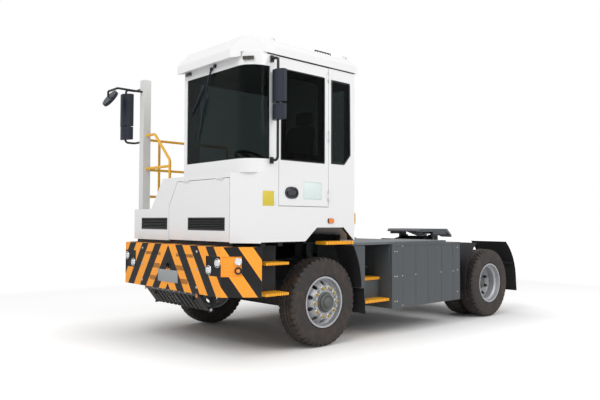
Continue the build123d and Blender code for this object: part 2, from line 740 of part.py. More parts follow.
# Lower side and upper side of the cab in one panel, with the arch, the door and the quarter window cut
arch_outline = (
    (front_axle_y - arch_half_bottom - 30, skirt_bottom_z - 30),
    (front_axle_y - arch_half_bottom, skirt_bottom_z),
    (front_axle_y - arch_half_top, arch_top_z),
    (front_axle_y + arch_half_top, arch_top_z),
    (front_axle_y + arch_half_bottom, skirt_bottom_z),
    (front_axle_y + arch_half_bottom + 30, skirt_bottom_z - 30),
)
quarter_outline = (
    (front_axle_y + 5, screen_top_z),
    (front_axle_y + 5, screen_bottom_z + 7),
    (front_axle_y + 225, screen_bottom_z + 7),
    (front_axle_y + 330, screen_bottom_z + 125),
    (front_axle_y + 320, screen_top_z),
)
hinge_pin = 5.0
hinge_play = 0.05
knuckle_half = 30.0
with BuildPart() as cab_left_wall:
    block((side_x - wall, side_x), (nose_corner_y, cab_rear_y), (skirt_bottom_z, belt_z))
    block((side_x - wall, side_x), (screen_end_y, cab_rear_y), (belt_z, eaves_z))
    wall_cut = (side_x - wall - 5, side_x + 5)
    side_prism(arch_outline, wall_cut, Mode.SUBTRACT)
    side_prism(quarter_outline, wall_cut, Mode.SUBTRACT)
    door_y = (door_front_y - panel_gap, door_rear_y + panel_gap)
    block(wall_cut, door_y, (sill_z - panel_gap, door_top_z + panel_gap), Mode.SUBTRACT)
    for z in door_hinges:
        for low in (z - 2 * knuckle_half, z + knuckle_half + 1):
            high = low + knuckle_half - 1
            bar((hinge_x, hinge_y, low), (hinge_x, hinge_y, high), hinge_barrel)
            block((side_x, side_x + 6), (hinge_y + 2, hinge_y + 34), (low, high))
            block((side_x, hinge_x), (hinge_y + 2, hinge_y + 9), (low, high))
        pin = ((hinge_x, hinge_y, z - 2 * knuckle_half), (hinge_x, hinge_y, z + 2 * knuckle_half))
        bar(*pin, hinge_pin)
cab_left_wall.part.label = "cab_left_wall"
export_step(cab_left_wall.part, "parts/cab_left_wall.step")

right_window_y = (screen_y + 185, cab_rear_y - 140)
right_window_z = (screen_bottom_z + 35, screen_top_z)
with BuildPart() as cab_right_wall:
    right_wall_x = (cab_right_x, cab_right_x + wall)
    block(right_wall_x, (screen_y + wall, cab_rear_y - wall), (floor_top_z, eaves_z))
    right_cut = (cab_right_x - 5, cab_right_x + wall + 5)
    block(right_cut, right_window_y, right_window_z, Mode.SUBTRACT)
cab_right_wall.part.label = "cab_right_wall"
export_step(cab_right_wall.part, "parts/cab_right_wall.step")

# Rear wall with the rails that the sliding door runs in
rear_door_x = (side_x - 660, side_x - 110)
rear_door_z = (floor_top_z + 12, screen_top_z + 30)
rear_door_gauge = 28.0
slide_gap = 8.0
slide_rails = (
    # bottom Z, top Z, groove's bottom Z, groove's top Z
    (rear_door_z[0] - 12, rear_door_z[0] + 22, rear_door_z[0] - seat_gap, rear_door_z[0] + 30),
    (rear_door_z[1] - 22, rear_door_z[1] + 14, rear_door_z[1] - 30, rear_door_z[1] + 3),
)
with BuildPart() as cab_rear_wall:
    block((cab_right_x, side_x - wall), (cab_rear_y - wall, cab_rear_y), (floor_top_z, eaves_z))
    doorway_x = (rear_door_x[0] + 25, rear_door_x[1] - 25)
    doorway_z = (rear_door_z[0] + 40, rear_door_z[1] - 40)
    block(doorway_x, (cab_rear_y - wall - 5, cab_rear_y + 5), doorway_z, Mode.SUBTRACT)
    for low, high, groove_low, groove_high in slide_rails:
        rail_x = (cab_right_x + 20, side_x - wall - 20)
        block(rail_x, (cab_rear_y, cab_rear_y + slide_gap + rear_door_gauge + 12), (low, high))
        groove_x = (cab_right_x + 15, side_x - wall - 15)
        groove_y = (cab_rear_y + slide_gap - 1, cab_rear_y + slide_gap + rear_door_gauge + 1)
        block(groove_x, groove_y, (groove_low, groove_high), Mode.SUBTRACT)
cab_rear_wall.part.label = "cab_rear_wall"
export_step(cab_rear_wall.part, "parts/cab_rear_wall.step")

# Screen frame: a strip round the cab's front with a curved left corner, and the screen in its opening


def screen_strip(outer, inner, z, x_low, y_end):
    """Gives the curved strip between two distances inside the cab's front line."""
    arc_x = side_x - screen_corner_radius
    arc_y = screen_y + screen_corner_radius
    far = screen_corner_radius - outer
    near = screen_corner_radius - inner
    diagonal = cos(radians(45))
    with BuildSketch(Plane.XY.offset(z)) as strip:
        with BuildLine():
            Line((x_low, arc_y - far), (arc_x, arc_y - far))
            middle = (arc_x + far * diagonal, arc_y - far * diagonal)
            ThreePointArc((arc_x, arc_y - far), middle, (arc_x + far, arc_y))
            Polyline((arc_x + far, arc_y), (arc_x + far, y_end), (arc_x + near, y_end), (arc_x + near, arc_y))
            middle = (arc_x + near * diagonal, arc_y - near * diagonal)
            ThreePointArc((arc_x + near, arc_y), middle, (arc_x, arc_y - near))
            Polyline((arc_x, arc_y - near), (x_low, arc_y - near), (x_low, arc_y - far))
        make_face()
    return strip.sketch


screen_right_x = cab_right_x + 60
with BuildPart() as cab_front:
    extrude(screen_strip(0, wall, belt_z, cab_right_x, screen_end_y), amount=eaves_z - belt_z)
    screen_cut = screen_strip(-5, wall + 5, screen_bottom_z, screen_right_x, screen_end_y + 5)
    extrude(screen_cut, amount=screen_height, mode=Mode.SUBTRACT)
cab_front.part.label = "cab_front"
export_step(cab_front.part, "parts/cab_front.step")

screen_inset = 8.0
with BuildPart() as windshield:
    pane = screen_strip(screen_inset, screen_inset + screen_gauge, screen_bottom_z, screen_right_x, screen_end_y)
    extrude(pane, amount=screen_height)
windshield.part.label = "windshield"
export_step(windshield.part, "parts/windshield.step")

with BuildPart() as cab_glass:
    side_prism(quarter_outline, (side_x - 22, side_x - 12))
    block((cab_right_x + 12, cab_right_x + 22), right_window_y, right_window_z)
cab_glass.part.label = "cab_glass"
export_step(cab_glass.part, "parts/cab_glass.step")

# Roof: a hipped shell with a visor that drops in front of the screen, and four lifting eyes
visor_y = screen_y - 90
roof_rear_y = cab_rear_y + 30
roof_plan = (
    (cab_right_x - 20, roof_rear_y),
    (cab_right_x - 20, visor_y),
    (side_x - 230, visor_y),
    (side_x + 15, screen_y + 190),
    (side_x + 15, roof_rear_y),
)
roof_side = (
    (visor_y, eaves_z - 63),
    (visor_y, eaves_z + 25),
    (visor_y + 110, roof_top_z),
    (roof_rear_y - 70, roof_top_z),
    (roof_rear_y, eaves_z + 110),
    (roof_rear_y, eaves_z),
    (screen_y - 7, eaves_z),
    (screen_y - 7, eaves_z - 50),
)
roof_front = (
    (cab_right_x - 20, eaves_z - 70),
    (side_x + 15, eaves_z - 70),
    (side_x + 15, eaves_z + 76),
    (side_x - 80, roof_top_z),
    (cab_right_x + 60, roof_top_z),
    (cab_right_x - 20, eaves_z + 90),
)
eye_radius = 14.0
with BuildPart() as cab_roof:
    plan_prism(roof_plan, (eaves_z - 70, roof_top_z))
    side_prism(roof_side, (cab_right_x - 30, side_x + 20), Mode.INTERSECT)
    front_prism(roof_front, (visor_y - 10, roof_rear_y + 10), Mode.INTERSECT)
    for y in (front_axle_y - 742, front_axle_y + 394):
        for x in (side_x - 150, cab_right_x + 130):
            block((x - 8, x + 8), (y - 35, y + 35), (roof_top_z - 5, roof_top_z + 60))
            eye_z = roof_top_z + 32
            bar((x - 10, y, eye_z), (x + 10, y, eye_z), eye_radius, Mode.SUBTRACT)
cab_roof.part.label = "cab_roof"
export_step(cab_roof.part, "parts/cab_roof.step")

# Nose: the lower front body with its corner facets, its shoulder on the right, a grille and the flap's opening
flap_left = side_x - 270
flap_right = cab_right_x - 230
flap_slant_x = cab_right_x - 50
flap_bottom_z = skirt_bottom_z
flap_top_z = belt_z - 55
flap_slant_z = shoulder_z + 24
nose_plan = (
    (-side_x, nose_corner_y),
    (-nose_fold_x, nose_front_y),
    (nose_fold_x, nose_front_y),
    (side_x, nose_corner_y),
)
nose_inner = (
    (-side_x + 32, nose_corner_y + 5),
    (-side_x + 32, nose_corner_y),
    (-nose_fold_x + 9, nose_front_y + skin),
    (nose_fold_x - 9, nose_front_y + skin),
    (side_x - 32, nose_corner_y),
    (side_x - 32, nose_corner_y + 5),
)
flap_outline = (
    (flap_right, flap_bottom_z),
    (flap_left, flap_bottom_z),
    (flap_left, flap_top_z),
    (flap_slant_x, flap_top_z),
    (flap_right, flap_slant_z),
)
flap_opening = (
    (flap_right - panel_gap, skirt_bottom_z - 20),
    (flap_left + panel_gap, skirt_bottom_z - 20),
    (flap_left + panel_gap, flap_top_z + panel_gap),
    (flap_slant_x - panel_gap, flap_top_z + panel_gap),
    (flap_right - panel_gap, flap_slant_z + panel_gap),
)
shoulder_cut = (
    (-side_x - 5, shoulder_z),
    (cab_right_x - 660, shoulder_z),
    (cab_right_x - 380, belt_z + 5),
    (-side_x - 5, belt_z + 5),
)
cowl_cut = (
    (cab_right_x, screen_y + wall),
    (side_x - 230, screen_y + wall),
    (side_x - 105, screen_y + 107),
    (side_x - wall - 2, nose_corner_y + 5),
    (cab_right_x, nose_corner_y + 5),
)
left_grille_x = (flap_right - 670, flap_right - 40)
right_grille_x = (flap_right + 410, flap_left - 80)
grille_z = (skirt_bottom_z + 115, skirt_bottom_z + 258)
louvres = 6
louvre_gauge = 5.0


def grille(x, z):
    """Adds a framed set of louvres in an opening of the nose, clear of its edges."""
    inner_x = (x[0] + seat_gap, x[1] - seat_gap)
    inner_z = (z[0] + seat_gap, z[1] - seat_gap)
    frame_y = (nose_front_y + 2, nose_front_y + skin)
    block(inner_x, frame_y, inner_z)
    hole_z = (z[0] + 12, z[1] - 12)
    block((x[0] + 12, x[1] - 12), (nose_front_y - 5, nose_front_y + skin + 5), hole_z, Mode.SUBTRACT)
    pitch = (z[1] - z[0] - 32) / louvres
    for step in range(louvres):
        low = z[0] + 16 + step * pitch
        slat = (
            (nose_front_y + 4, low),
            (nose_front_y + 4, low + louvre_gauge),
            (nose_front_y + skin - 2, low + pitch * 0.8),
            (nose_front_y + skin - 2, low + pitch * 0.8 - louvre_gauge),
        )
        side_prism(slat, (x[0] + 10, x[1] - 10))


flap_hinges = (flap_left - 830, flap_left - 170)
flap_hinge_y = nose_front_y - 9
flap_hinge_z = flap_top_z + panel_gap / 2
flap_barrel = 8.5
flap_pin = 4.0
with BuildPart() as nose_panel:
    plan_prism(nose_plan, (skirt_bottom_z - 10, belt_z))
    plan_prism(nose_inner, (skirt_bottom_z - 20, belt_z - skin), Mode.SUBTRACT)
    front_prism(shoulder_cut, (nose_front_y - 5, nose_corner_y + 5), Mode.SUBTRACT)
    skin_cut = (nose_front_y - 5, nose_front_y + skin + 5)
    front_prism(flap_opening, skin_cut, Mode.SUBTRACT)
    block(left_grille_x, skin_cut, grille_z, Mode.SUBTRACT)
    plan_prism(cowl_cut, (belt_z - skin - 5, belt_z + 5), Mode.SUBTRACT)
    for x in flap_hinges:
        for low in (x - 65, x + 33):
            bar((low, flap_hinge_y, flap_hinge_z), (low + 32, flap_hinge_y, flap_hinge_z), flap_barrel)
            block((low, low + 32), (nose_front_y - 4, nose_front_y), (flap_hinge_z + 4, flap_hinge_z + 30))
        pin = ((x - 65, flap_hinge_y, flap_hinge_z), (x + 65, flap_hinge_y, flap_hinge_z))
        bar(*pin, flap_pin)
    grille(left_grille_x, grille_z)
nose_panel.part.label = "nose_panel"
export_step(nose_panel.part, "parts/nose_panel.step")

with BuildPart() as hood_flap:
    front_prism(flap_outline, (nose_front_y, nose_front_y + skin))
    block(right_grille_x, skin_cut, grille_z, Mode.SUBTRACT)
    for x in flap_hinges:
        bar((x - 32, flap_hinge_y, flap_hinge_z), (x + 32, flap_hinge_y, flap_hinge_z), flap_barrel)
        block((x - 32, x + 32), (nose_front_y - 4, nose_front_y), (flap_hinge_z - 30, flap_hinge_z - 4))
        bore = ((x - 33, flap_hinge_y, flap_hinge_z), (x + 33, flap_hinge_y, flap_hinge_z))
        bar(*bore, flap_pin + hinge_play, Mode.SUBTRACT)
    grille(right_grille_x, grille_z)
hood_flap.part.label = "hood_flap"
export_step(hood_flap.part, "parts/hood_flap.step")

# Right-hand deck beside the cab: its top, its hump beside the cab's front, its skirt and its rear wall
nose_deck_plan = (
    (-nose_fold_x + 9, nose_front_y + skin),
    (-side_x + 32, nose_corner_y),
    (cab_right_x, nose_corner_y),
    (cab_right_x, nose_front_y + skin),
)
hump_outline = (
    (cab_right_x - 660, shoulder_z),
    (cab_right_x, shoulder_z),
    (cab_right_x, belt_z),
    (cab_right_x - 380, belt_z),
)
deck_skin = 30.0
with BuildPart() as right_deck:
    deck_top_z = (shoulder_z - deck_skin, shoulder_z)
    block((-side_x, cab_right_x), (nose_corner_y, cab_rear_y), deck_top_z)
    block((-side_x, -side_x + skin), (nose_corner_y, cab_rear_y), (skirt_bottom_z, shoulder_z))
    block((-side_x, side_x - wall), (cab_rear_y - skin, cab_rear_y), (skirt_bottom_z, deck_top_z[0]))
    plan_prism(nose_deck_plan, deck_top_z)
    front_prism(hump_outline, (nose_corner_y, front_axle_y - 620))
    side_prism(arch_outline, (-side_x - 5, -side_x + skin + 5), Mode.SUBTRACT)
right_deck.part.label = "right_deck"
export_step(right_deck.part, "parts/right_deck.step")

# Body mounts: the brackets that carry the cab and the lower body on the frame
body_beams = (
    # y, half length along X
    (front_axle_y - 940, side_x - 60),
    (front_axle_y - 700, side_x - 60),
    (front_axle_y + 340, deck_tread_x[0] - seat_gap),
)
beam_z = (rail_top_z + 210, skirt_bottom_z + 60)
with BuildPart() as body_mounts:
    for y, half in body_beams:
        beam_y = (y - 30, y + 30)
        block((-half, half), beam_y, beam_z)
        for x in both((rail_outer_x - 80, rail_outer_x)):
            block(x, beam_y, (rail_top_z, beam_z[0]))
        for x in both((rail_outer_x - 40, rail_outer_x)):
            top = floor_top_z - floor_gauge if x[0] > 0 else shoulder_z - deck_skin
            block(x, beam_y, (beam_z[1], top))
body_mounts.part.label = "body_mounts"
export_step(body_mounts.part, "parts/body_mounts.step")

# Cab door with its window, its glass and its handle in an oval bezel
window_y = (door_front_y + 21, door_rear_y - 55)
window_z = (screen_bottom_z, door_top_z - 116)
handle_centre = (door_front_y + 179, shoulder_z + 161)
with BuildPart() as cab_door:
    block((side_x - wall, side_x), (door_front_y, door_rear_y), (sill_z, door_top_z))
    block(wall_cut, window_y, window_z, Mode.SUBTRACT)
    with BuildSketch(Plane.YZ.offset(side_x)) as bezel:
        with Locations(handle_centre):
            SlotOverall(190, 122)
            SlotOverall(158, 90, mode=Mode.SUBTRACT)
    extrude(bezel.sketch, amount=8)
    with BuildSketch(Plane.YZ.offset(side_x)) as paddle:
        with Locations((handle_centre[0] - 8, handle_centre[1])):
            SlotOverall(112, 52)
    extrude(paddle.sketch, amount=14)
    for z in door_hinges:
        bar((hinge_x, hinge_y, z - knuckle_half), (hinge_x, hinge_y, z + knuckle_half), hinge_barrel)
        leaf_z = (z - knuckle_half, z + knuckle_half)
        block((side_x, side_x + 6), (hinge_y - 34, hinge_y - 2), leaf_z)
        block((side_x, hinge_x), (hinge_y - 9, hinge_y - 2), leaf_z)
        bore = ((hinge_x, hinge_y, z - knuckle_half - 1), (hinge_x, hinge_y, z + knuckle_half + 1))
        bar(*bore, hinge_pin + hinge_play, Mode.SUBTRACT)
cab_door.part.label = "cab_door"
export_step(cab_door.part, "parts/cab_door.step")

with BuildPart() as door_glass:
    block((side_x - 20, side_x - 10), window_y, window_z)
door_glass.part.label = "door_glass"
export_step(door_glass.part, "parts/door_glass.step")

# Sliding door on the cab's rear wall
rear_window_x = (rear_door_x[0] + 60, rear_door_x[1] - 60)
rear_window_z = (rear_door_z[0] + 520, rear_door_z[1] - 60)
slide_y = cab_rear_y + slide_gap
with BuildPart() as rear_door:
    block(rear_door_x, (slide_y, slide_y + rear_door_gauge), rear_door_z)
    block(rear_window_x, (cab_rear_y, cab_rear_y + 50), rear_window_z, Mode.SUBTRACT)
rear_door.part.label = "rear_door"
export_step(rear_door.part, "parts/rear_door.step")

with BuildPart() as rear_door_glass:
    block(rear_window_x, (slide_y + 9, slide_y + 19), rear_window_z)
rear_door_glass.part.label = "rear_door_glass"
export_step(rear_door_glass.part, "parts/rear_door_glass.step")

# Inside the cab: seat, dashboard, steering column and wheel
seat_x = side_x - 600
seat_base_z = floor_top_z + 310
back_low_z = seat_base_z + 30
back_top_z = seat_base_z + 700
seat_back = ((10, back_low_z), (80, back_top_z), (170, back_top_z), (120, back_low_z))
with BuildPart() as seat:
    block((seat_x - 170, seat_x + 170), (front_axle_y - 420, front_axle_y - 60), (floor_top_z, seat_base_z))
    block((seat_x - 250, seat_x + 250), (front_axle_y - 480, front_axle_y + 10), (seat_base_z, seat_base_z + 120))
    side_prism(shifted(seat_back, front_axle_y), (seat_x - 240, seat_x + 240))
    block((seat_x - 140, seat_x + 140), (front_axle_y + 90, front_axle_y + 160), (back_top_z, back_top_z + 180))
seat.part.label = "seat"
export_step(seat.part, "parts/seat.step")

dashboard_x = (cab_right_x + wall + 10, side_x - 170)
dashboard_side = (
    (-1070, floor_top_z),
    (-1070, belt_z + 90),
    (-900, belt_z + 120),
    (-820, belt_z + 20),
    (-900, belt_z - 140),
    (-940, floor_top_z),
)
with BuildPart() as dashboard:
    side_prism(shifted(dashboard_side, front_axle_y), dashboard_x)
dashboard.part.label = "dashboard"
export_step(dashboard.part, "parts/dashboard.step")

wheel_centre = (seat_x, front_axle_y - 660, belt_z + 190)
column_axis = Vector(0, 0.42, 0.91).normalized()
column_radius = 26.0
with BuildPart() as steering_wheel:
    with BuildSketch(Plane(origin=wheel_centre, z_dir=column_axis, x_dir=(1, 0, 0))):
        Circle(60)
        Rectangle(400, 40)
        Rectangle(40, 400)
    extrude(amount=16, both=True)
    with Locations(Plane(origin=wheel_centre, z_dir=column_axis, x_dir=(1, 0, 0))):
        Torus(205, 16)
    joint_place = tuple(Vector(*wheel_centre) - column_axis * 160)
    bar(joint_place, wheel_centre, column_radius)
    bar((seat_x, front_axle_y - 870, belt_z + 45), joint_place, column_radius)
    with Locations(joint_place):
        Sphere(30)
    side_prism(shifted(dashboard_side, front_axle_y), dashboard_x, Mode.SUBTRACT)
steering_wheel.part.label = "steering_wheel"
export_step(steering_wheel.part, "parts/steering_wheel.step")

# Right-hand post with the mirror arms, and the left-hand arms
post_x = -side_x + 195
post_y = front_axle_y - 1050
post_half = 52.0
post_top_z = eaves_z + 85
arm_radius = 14.0
right_head_x = -side_x - 96
right_head_y = front_axle_y - 1175
head_yaw = 20.0
head_flat = 30.0
head_bulge = 55.0
arm_lead = 12.0
right_arm_x = right_head_x + arm_lead * sin(radians(head_yaw))
right_arm_y = right_head_y - arm_lead * cos(radians(head_yaw))
left_arm_x = side_x + 108
left_arm_y = front_axle_y - 886
left_head_y = left_arm_y + arm_lead
disc_x = -side_x - 75
disc_y = front_axle_y - 1416
arm_top_z = eaves_z - 60
with BuildPart() as mirror_arms:
    post = (post_x - post_half, post_x + post_half)
    block(post, (post_y - post_half, post_y + post_half), (shoulder_z, post_top_z))
    disc_arm = (
        (post_x, post_y - post_half + 5, eaves_z - 70),
        (post_x, disc_y - 30, eaves_z - 70),
        (disc_x, disc_y - 30, eaves_z - 70),
        (disc_x, disc_y - 30, eaves_z - 147),
    )
    tube_run(disc_arm, arm_radius, 16)
    right_arm = (
        (post[0] + 5, post_y, eaves_z - 10),
        (right_arm_x, post_y, eaves_z - 10),
        (right_arm_x, right_arm_y, eaves_z - 10),
        (right_arm_x, right_arm_y, belt_z + 540),
        (right_arm_x, post_y, belt_z + 540),
        (post[0] + 5, post_y, belt_z + 540),
    )
    tube_run(right_arm, arm_radius, 40)
    left_arm = (
        (side_x, left_arm_y, arm_top_z),
        (left_arm_x, left_arm_y, arm_top_z),
        (left_arm_x, left_arm_y, belt_z + 130),
        (side_x, left_arm_y, belt_z + 130),
    )
    tube_run(left_arm, arm_radius, 40)
    for z in (arm_top_z, belt_z + 130):
        block((side_x, side_x + 24), (left_arm_y - 18, left_arm_y + 18), (z - 34, z + 34))
mirror_arms.part.label = "mirror_arms"
export_step(mirror_arms.part, "parts/mirror_arms.step")

mirror_heads_table = (
    # x, y, bottom Z, top Z, half width, yaw in degrees
    (right_head_x, right_head_y, eaves_z - 500, eaves_z - 70, 100.0, head_yaw),
    (right_head_x, right_head_y, eaves_z - 679, eaves_z - 510, 95.0, head_yaw),
    (left_arm_x, left_head_y, eaves_z - 530, eaves_z - 190, 92.0, 0.0),
    (left_arm_x, left_head_y, eaves_z - 710, eaves_z - 550, 88.0, 0.0),
)
disc_tilt = 55.0
with BuildPart() as mirror_heads:
    for x, y, low, high, half, yaw in mirror_heads_table:
        with BuildSketch(Plane(origin=(x, y, low), x_dir=(cos(radians(yaw)), sin(radians(yaw)), 0))) as housing:
            with BuildLine():
                Polyline((-half, -10), (-half, head_flat), (half, head_flat), (half, -10))
                ThreePointArc((half, -10), (0, -head_bulge), (-half, -10))
            make_face()
        extrude(housing.sketch, amount=high - low)
    for x, y in ((right_arm_x, right_arm_y), (left_arm_x, left_arm_y)):
        bore = ((x, y, eaves_z - 720), (x, y, eaves_z - 60))
        bar(*bore, arm_radius + seat_gap, Mode.SUBTRACT)
    with Locations(Location((disc_x, disc_y, eaves_z - 160), (disc_tilt, 0, 0))):
        Cylinder(125, 40)
mirror_heads.part.label = "mirror_heads"
export_step(mirror_heads.part, "parts/mirror_heads.step")

# Handrails on the right-hand deck, and the grab handles behind the cab's rear corners
rail_x = -side_x + 85
tube_radius = 17.0
rail_rear = cab_rear_y - 50
rail_levels = (belt_z - 182, belt_z + 176, belt_z + 578)
brace_x = cab_right_x - 516
with BuildPart() as handrails:
    side_rail = (
        (post[0], post_y, rail_levels[2]),
        (rail_x, post_y, rail_levels[2]),
        (rail_x, rail_rear, rail_levels[2]),
        (rail_x, rail_rear, shoulder_z),
    )
    tube_run(side_rail, tube_radius, 38)
    for z in rail_levels[:2]:
        tube_run(((post[0], post_y, z), (rail_x, post_y, z), (rail_x, rail_rear, z)), tube_radius, 38)
    post_foot = (rail_x, front_axle_y - 776, shoulder_z)
    bar(post_foot, (rail_x, front_axle_y - 776, rail_levels[2]), tube_radius)
    front_brace = (
        (post[1], post_y, belt_z + 612),
        (post[1] + 203, post_y, belt_z + 612),
        (brace_x, post_y, belt_z + 250),
        (brace_x, post_y, belt_z - 166),
    )
    tube_run(front_brace, tube_radius, 70)
    bar((post[1], post_y, rail_levels[1]), (brace_x, post_y, rail_levels[1]), tube_radius)
    grab_x = side_x - wall / 2
    grab_z = (skirt_bottom_z + 190, skirt_bottom_z + 320)
    grab = (
        (grab_x, cab_rear_y, grab_z[0]),
        (grab_x, cab_rear_y + 32, grab_z[0]),
        (grab_x, cab_rear_y + 32, grab_z[1]),
        (grab_x, cab_rear_y, grab_z[1]),
    )
    tube_run(grab, 9.0, 20)
handrails.part.label = "handrails"
export_step(handrails.part, "parts/handrails.step")

# Steering knuckles and the track rod
arm_low_z = tyre_radius - 128
stud_pin = 12.0
stud_play = 0.2
arm_reach = 205.0
arm_y = front_axle_y + arm_reach
stub_radius = 38.0
ears = ((tyre_radius - 128, tyre_radius - 76), (tyre_radius + 26, tyre_radius + 70))
for name, side in (("knuckle_left", 1), ("knuckle_right", -1)):
    with BuildPart() as knuckle:
        pin_x = side * kingpin_x
        for low, high in ears:
            bar((pin_x, front_axle_y, low), (pin_x, front_axle_y, high), 50.0)
            x = (kingpin_x, kingpin_x + 70) if side > 0 else (-kingpin_x - 70, -kingpin_x)
            block(x, (front_axle_y - 45, front_axle_y + 45), (low, high))
        x = (kingpin_x + 58, kingpin_x + 84) if side > 0 else (-kingpin_x - 84, -kingpin_x - 58)
        block(x, (front_axle_y - 60, front_axle_y + 60), (ears[0][0], ears[1][1]))
        pin_bore = ((pin_x, front_axle_y, tyre_radius - 140), (pin_x, front_axle_y, tyre_radius + 80))
        bar(*pin_bore, 24.5, Mode.SUBTRACT)
        stub_start = (side * (kingpin_x + 80), front_axle_y, tyre_radius)
        bar(stub_start, (side * (kingpin_x + 200), front_axle_y, tyre_radius), stub_radius)
        block((pin_x - 25, pin_x + 25), (front_axle_y + 40, arm_y + 30), (arm_low_z, arm_low_z + 32))
        stud_bore = ((pin_x, arm_y, arm_low_z - 5), (pin_x, arm_y, arm_low_z + 40))
        bar(*stud_bore, stud_pin + stud_play, Mode.SUBTRACT)
    knuckle.part.label = name
    export_step(knuckle.part, f"parts/{name}.step")

with BuildPart() as track_rod:
    rod_z = arm_low_z - 22 - seat_gap
    bar((-kingpin_x, arm_y, rod_z), (kingpin_x, arm_y, rod_z), 18.0)
    for x in (-kingpin_x, kingpin_x):
        bar((x, arm_y, rod_z - 22), (x, arm_y, rod_z + 22), 26.0)
        bar((x, arm_y, rod_z), (x, arm_y, arm_low_z + 28), stud_pin)
track_rod.part.label = "track_rod"
export_step(track_rod.part, "parts/track_rod.step")

# Wheels: the tyre and the rim with its hub, single in front and twin behind
tyre_half = (
    # distance from the tyre's middle, radius
    (106.0, bead_radius),
    (106.0, bead_radius + 15),
    (124.0, bead_radius + 38),
    (tyre_width / 2, tyre_radius - 80),
    (112.0, tyre_radius - 18),
    (82.0, tyre_radius),
)


def wheel_plane(x):
    """Gives the plane through a wheel's axis at X, on which radius runs up and width runs along X."""
    return Plane(origin=(x[0], x[1], tyre_radius), x_dir=(1, 0, 0), z_dir=(0, -1, 0))


def faceted_tyre(x, y):
    """Gives one tyre as a closed ring of flat facets that stands on a facet."""
    section = tyre_half + tuple((-width, radius) for width, radius in reversed(tyre_half))
    to_corner = 1 / cos(pi / tyre_sides)

    def corner(index, turn):
        width, radius = section[index % len(section)]
        angle = 2 * pi * (turn + 0.5) / tyre_sides
        reach = radius * to_corner
        return Vector(x + width, y + reach * cos(angle), tyre_radius + reach * sin(angle))

    facets = []
    for turn in range(tyre_sides):
        for index in range(len(section)):
            corners = (
                corner(index, turn),
                corner(index + 1, turn),
                corner(index + 1, turn + 1),
                corner(index, turn + 1),
            )
            facets.append(Face(Wire.make_polygon(corners)))
    return Solid(Shell(facets))


def add_rim(x, y, side, disc, hub_end):
    """Adds one rim, its disc at an offset towards the outside, with hand holes."""
    half = rim_width / 2
    gauge = rim_gauge
    with BuildSketch(wheel_plane((x, y))) as section:
        with BuildLine():
            Polyline(
                (-half, rim_flange_radius),
                (-half + 10, rim_flange_radius),
                (-half + 11, bead_radius - bead_play),
                (-60, bead_radius - 8),
                (-40, drop_radius),
                (40, drop_radius),
                (60, bead_radius - 8),
                (half - 11, bead_radius - bead_play),
                (half - 10, rim_flange_radius),
                (half, rim_flange_radius),
                (half - 2, bead_radius - 1 - gauge),
                (64, bead_radius - 8 - gauge),
                (44, drop_radius - gauge),
                (-44, drop_radius - gauge),
                (-64, bead_radius - 8 - gauge),
                (-half + 2, bead_radius - 1 - gauge),
                close=True,
            )
        make_face()
    revolve(section.sketch, Axis((x, y, tyre_radius), (1, 0, 0)), 360)
    depth = side * disc
    back = 14.0 if depth > 0 else -14.0
    with BuildSketch(wheel_plane((x, y))) as dish:
        with BuildLine():
            Polyline(
                (depth * 0.30, drop_radius - 4),
                (depth * 0.85, 204),
                (depth, 190),
                (depth, 60),
                (depth - back, 60),
                (depth - back, 184),
                (depth * 0.85 - back, 196),
                (depth * 0.30 - back, drop_radius - 4),
                close=True,
            )
        make_face()
    revolve(dish.sketch, Axis((x, y, tyre_radius), (1, 0, 0)), 360)
    low = min(depth * 0.30 - back, depth) - 12
    high = max(depth * 0.30 - back, depth) + 12
    with BuildSketch(Plane(origin=(x + low, y, tyre_radius), z_dir=(1, 0, 0))) as holes:
        with PolarLocations(hand_hole_circle, hand_holes):
            Circle(hand_hole_radius)
    extrude(holes.sketch, amount=high - low, mode=Mode.SUBTRACT)
    outer_face = x + (depth if back * side > 0 else depth - back)
    bar((outer_face, y, tyre_radius), (outer_face + side * hub_end, y, tyre_radius), 95.0)
    with BuildSketch(Plane(origin=(outer_face, y, tyre_radius), z_dir=(side, 0, 0))) as nuts:
        with PolarLocations(stud_circle, hand_holes):
            Circle(stud_radius)
    extrude(nuts.sketch, amount=30)


for name, side, y, outer in (
    ("front_left", 1, front_axle_y, front_track_half),
    ("front_right", -1, front_axle_y, front_track_half),
    ("rear_left", 1, rear_axle_y, dual_outer_x),
    ("rear_right", -1, rear_axle_y, dual_outer_x),
):
    is_twin = y == rear_axle_y
    tyre_places = (outer, dual_inner_x) if is_twin else (outer,)
    rings = [faceted_tyre(side * place, y) for place in tyre_places]
    with BuildPart() as tyre:
        add(rings)
    tyre.part.label = f"tyre_{name}"
    export_step(tyre.part, f"parts/tyre_{name}.step")
    with BuildPart() as rim:
        if is_twin:
            middle = (outer + dual_inner_x) / 2
            add_rim(side * dual_inner_x, y, side, middle - dual_inner_x, 20.0)
            add_rim(side * outer, y, side, middle - outer, 120.0)
            hub_start = dual_inner_x - 132
            bar((side * hub_start, y, tyre_radius), (side * middle, y, tyre_radius), 120.0)
            bore_start = (side * (hub_start - 8), y, tyre_radius)
            bore_end = (side * (spindle_end_x + 1), y, tyre_radius)
            bar(bore_start, bore_end, spindle_radius + bore_play, Mode.SUBTRACT)
        else:
            add_rim(side * outer, y, side, front_disc, 45.0)
            hub_start = (side * (kingpin_x + 90), y, tyre_radius)
            bar(hub_start, (side * (outer + front_disc), y, tyre_radius), 110.0)
            bore_start = (side * (kingpin_x + 60), y, tyre_radius)
            bore_end = (side * (kingpin_x + 202), y, tyre_radius)
            bar(bore_start, bore_end, stub_radius + bore_play, Mode.SUBTRACT)
    rim.part.label = f"rim_{name}"
    export_step(rim.part, f"parts/rim_{name}.step")
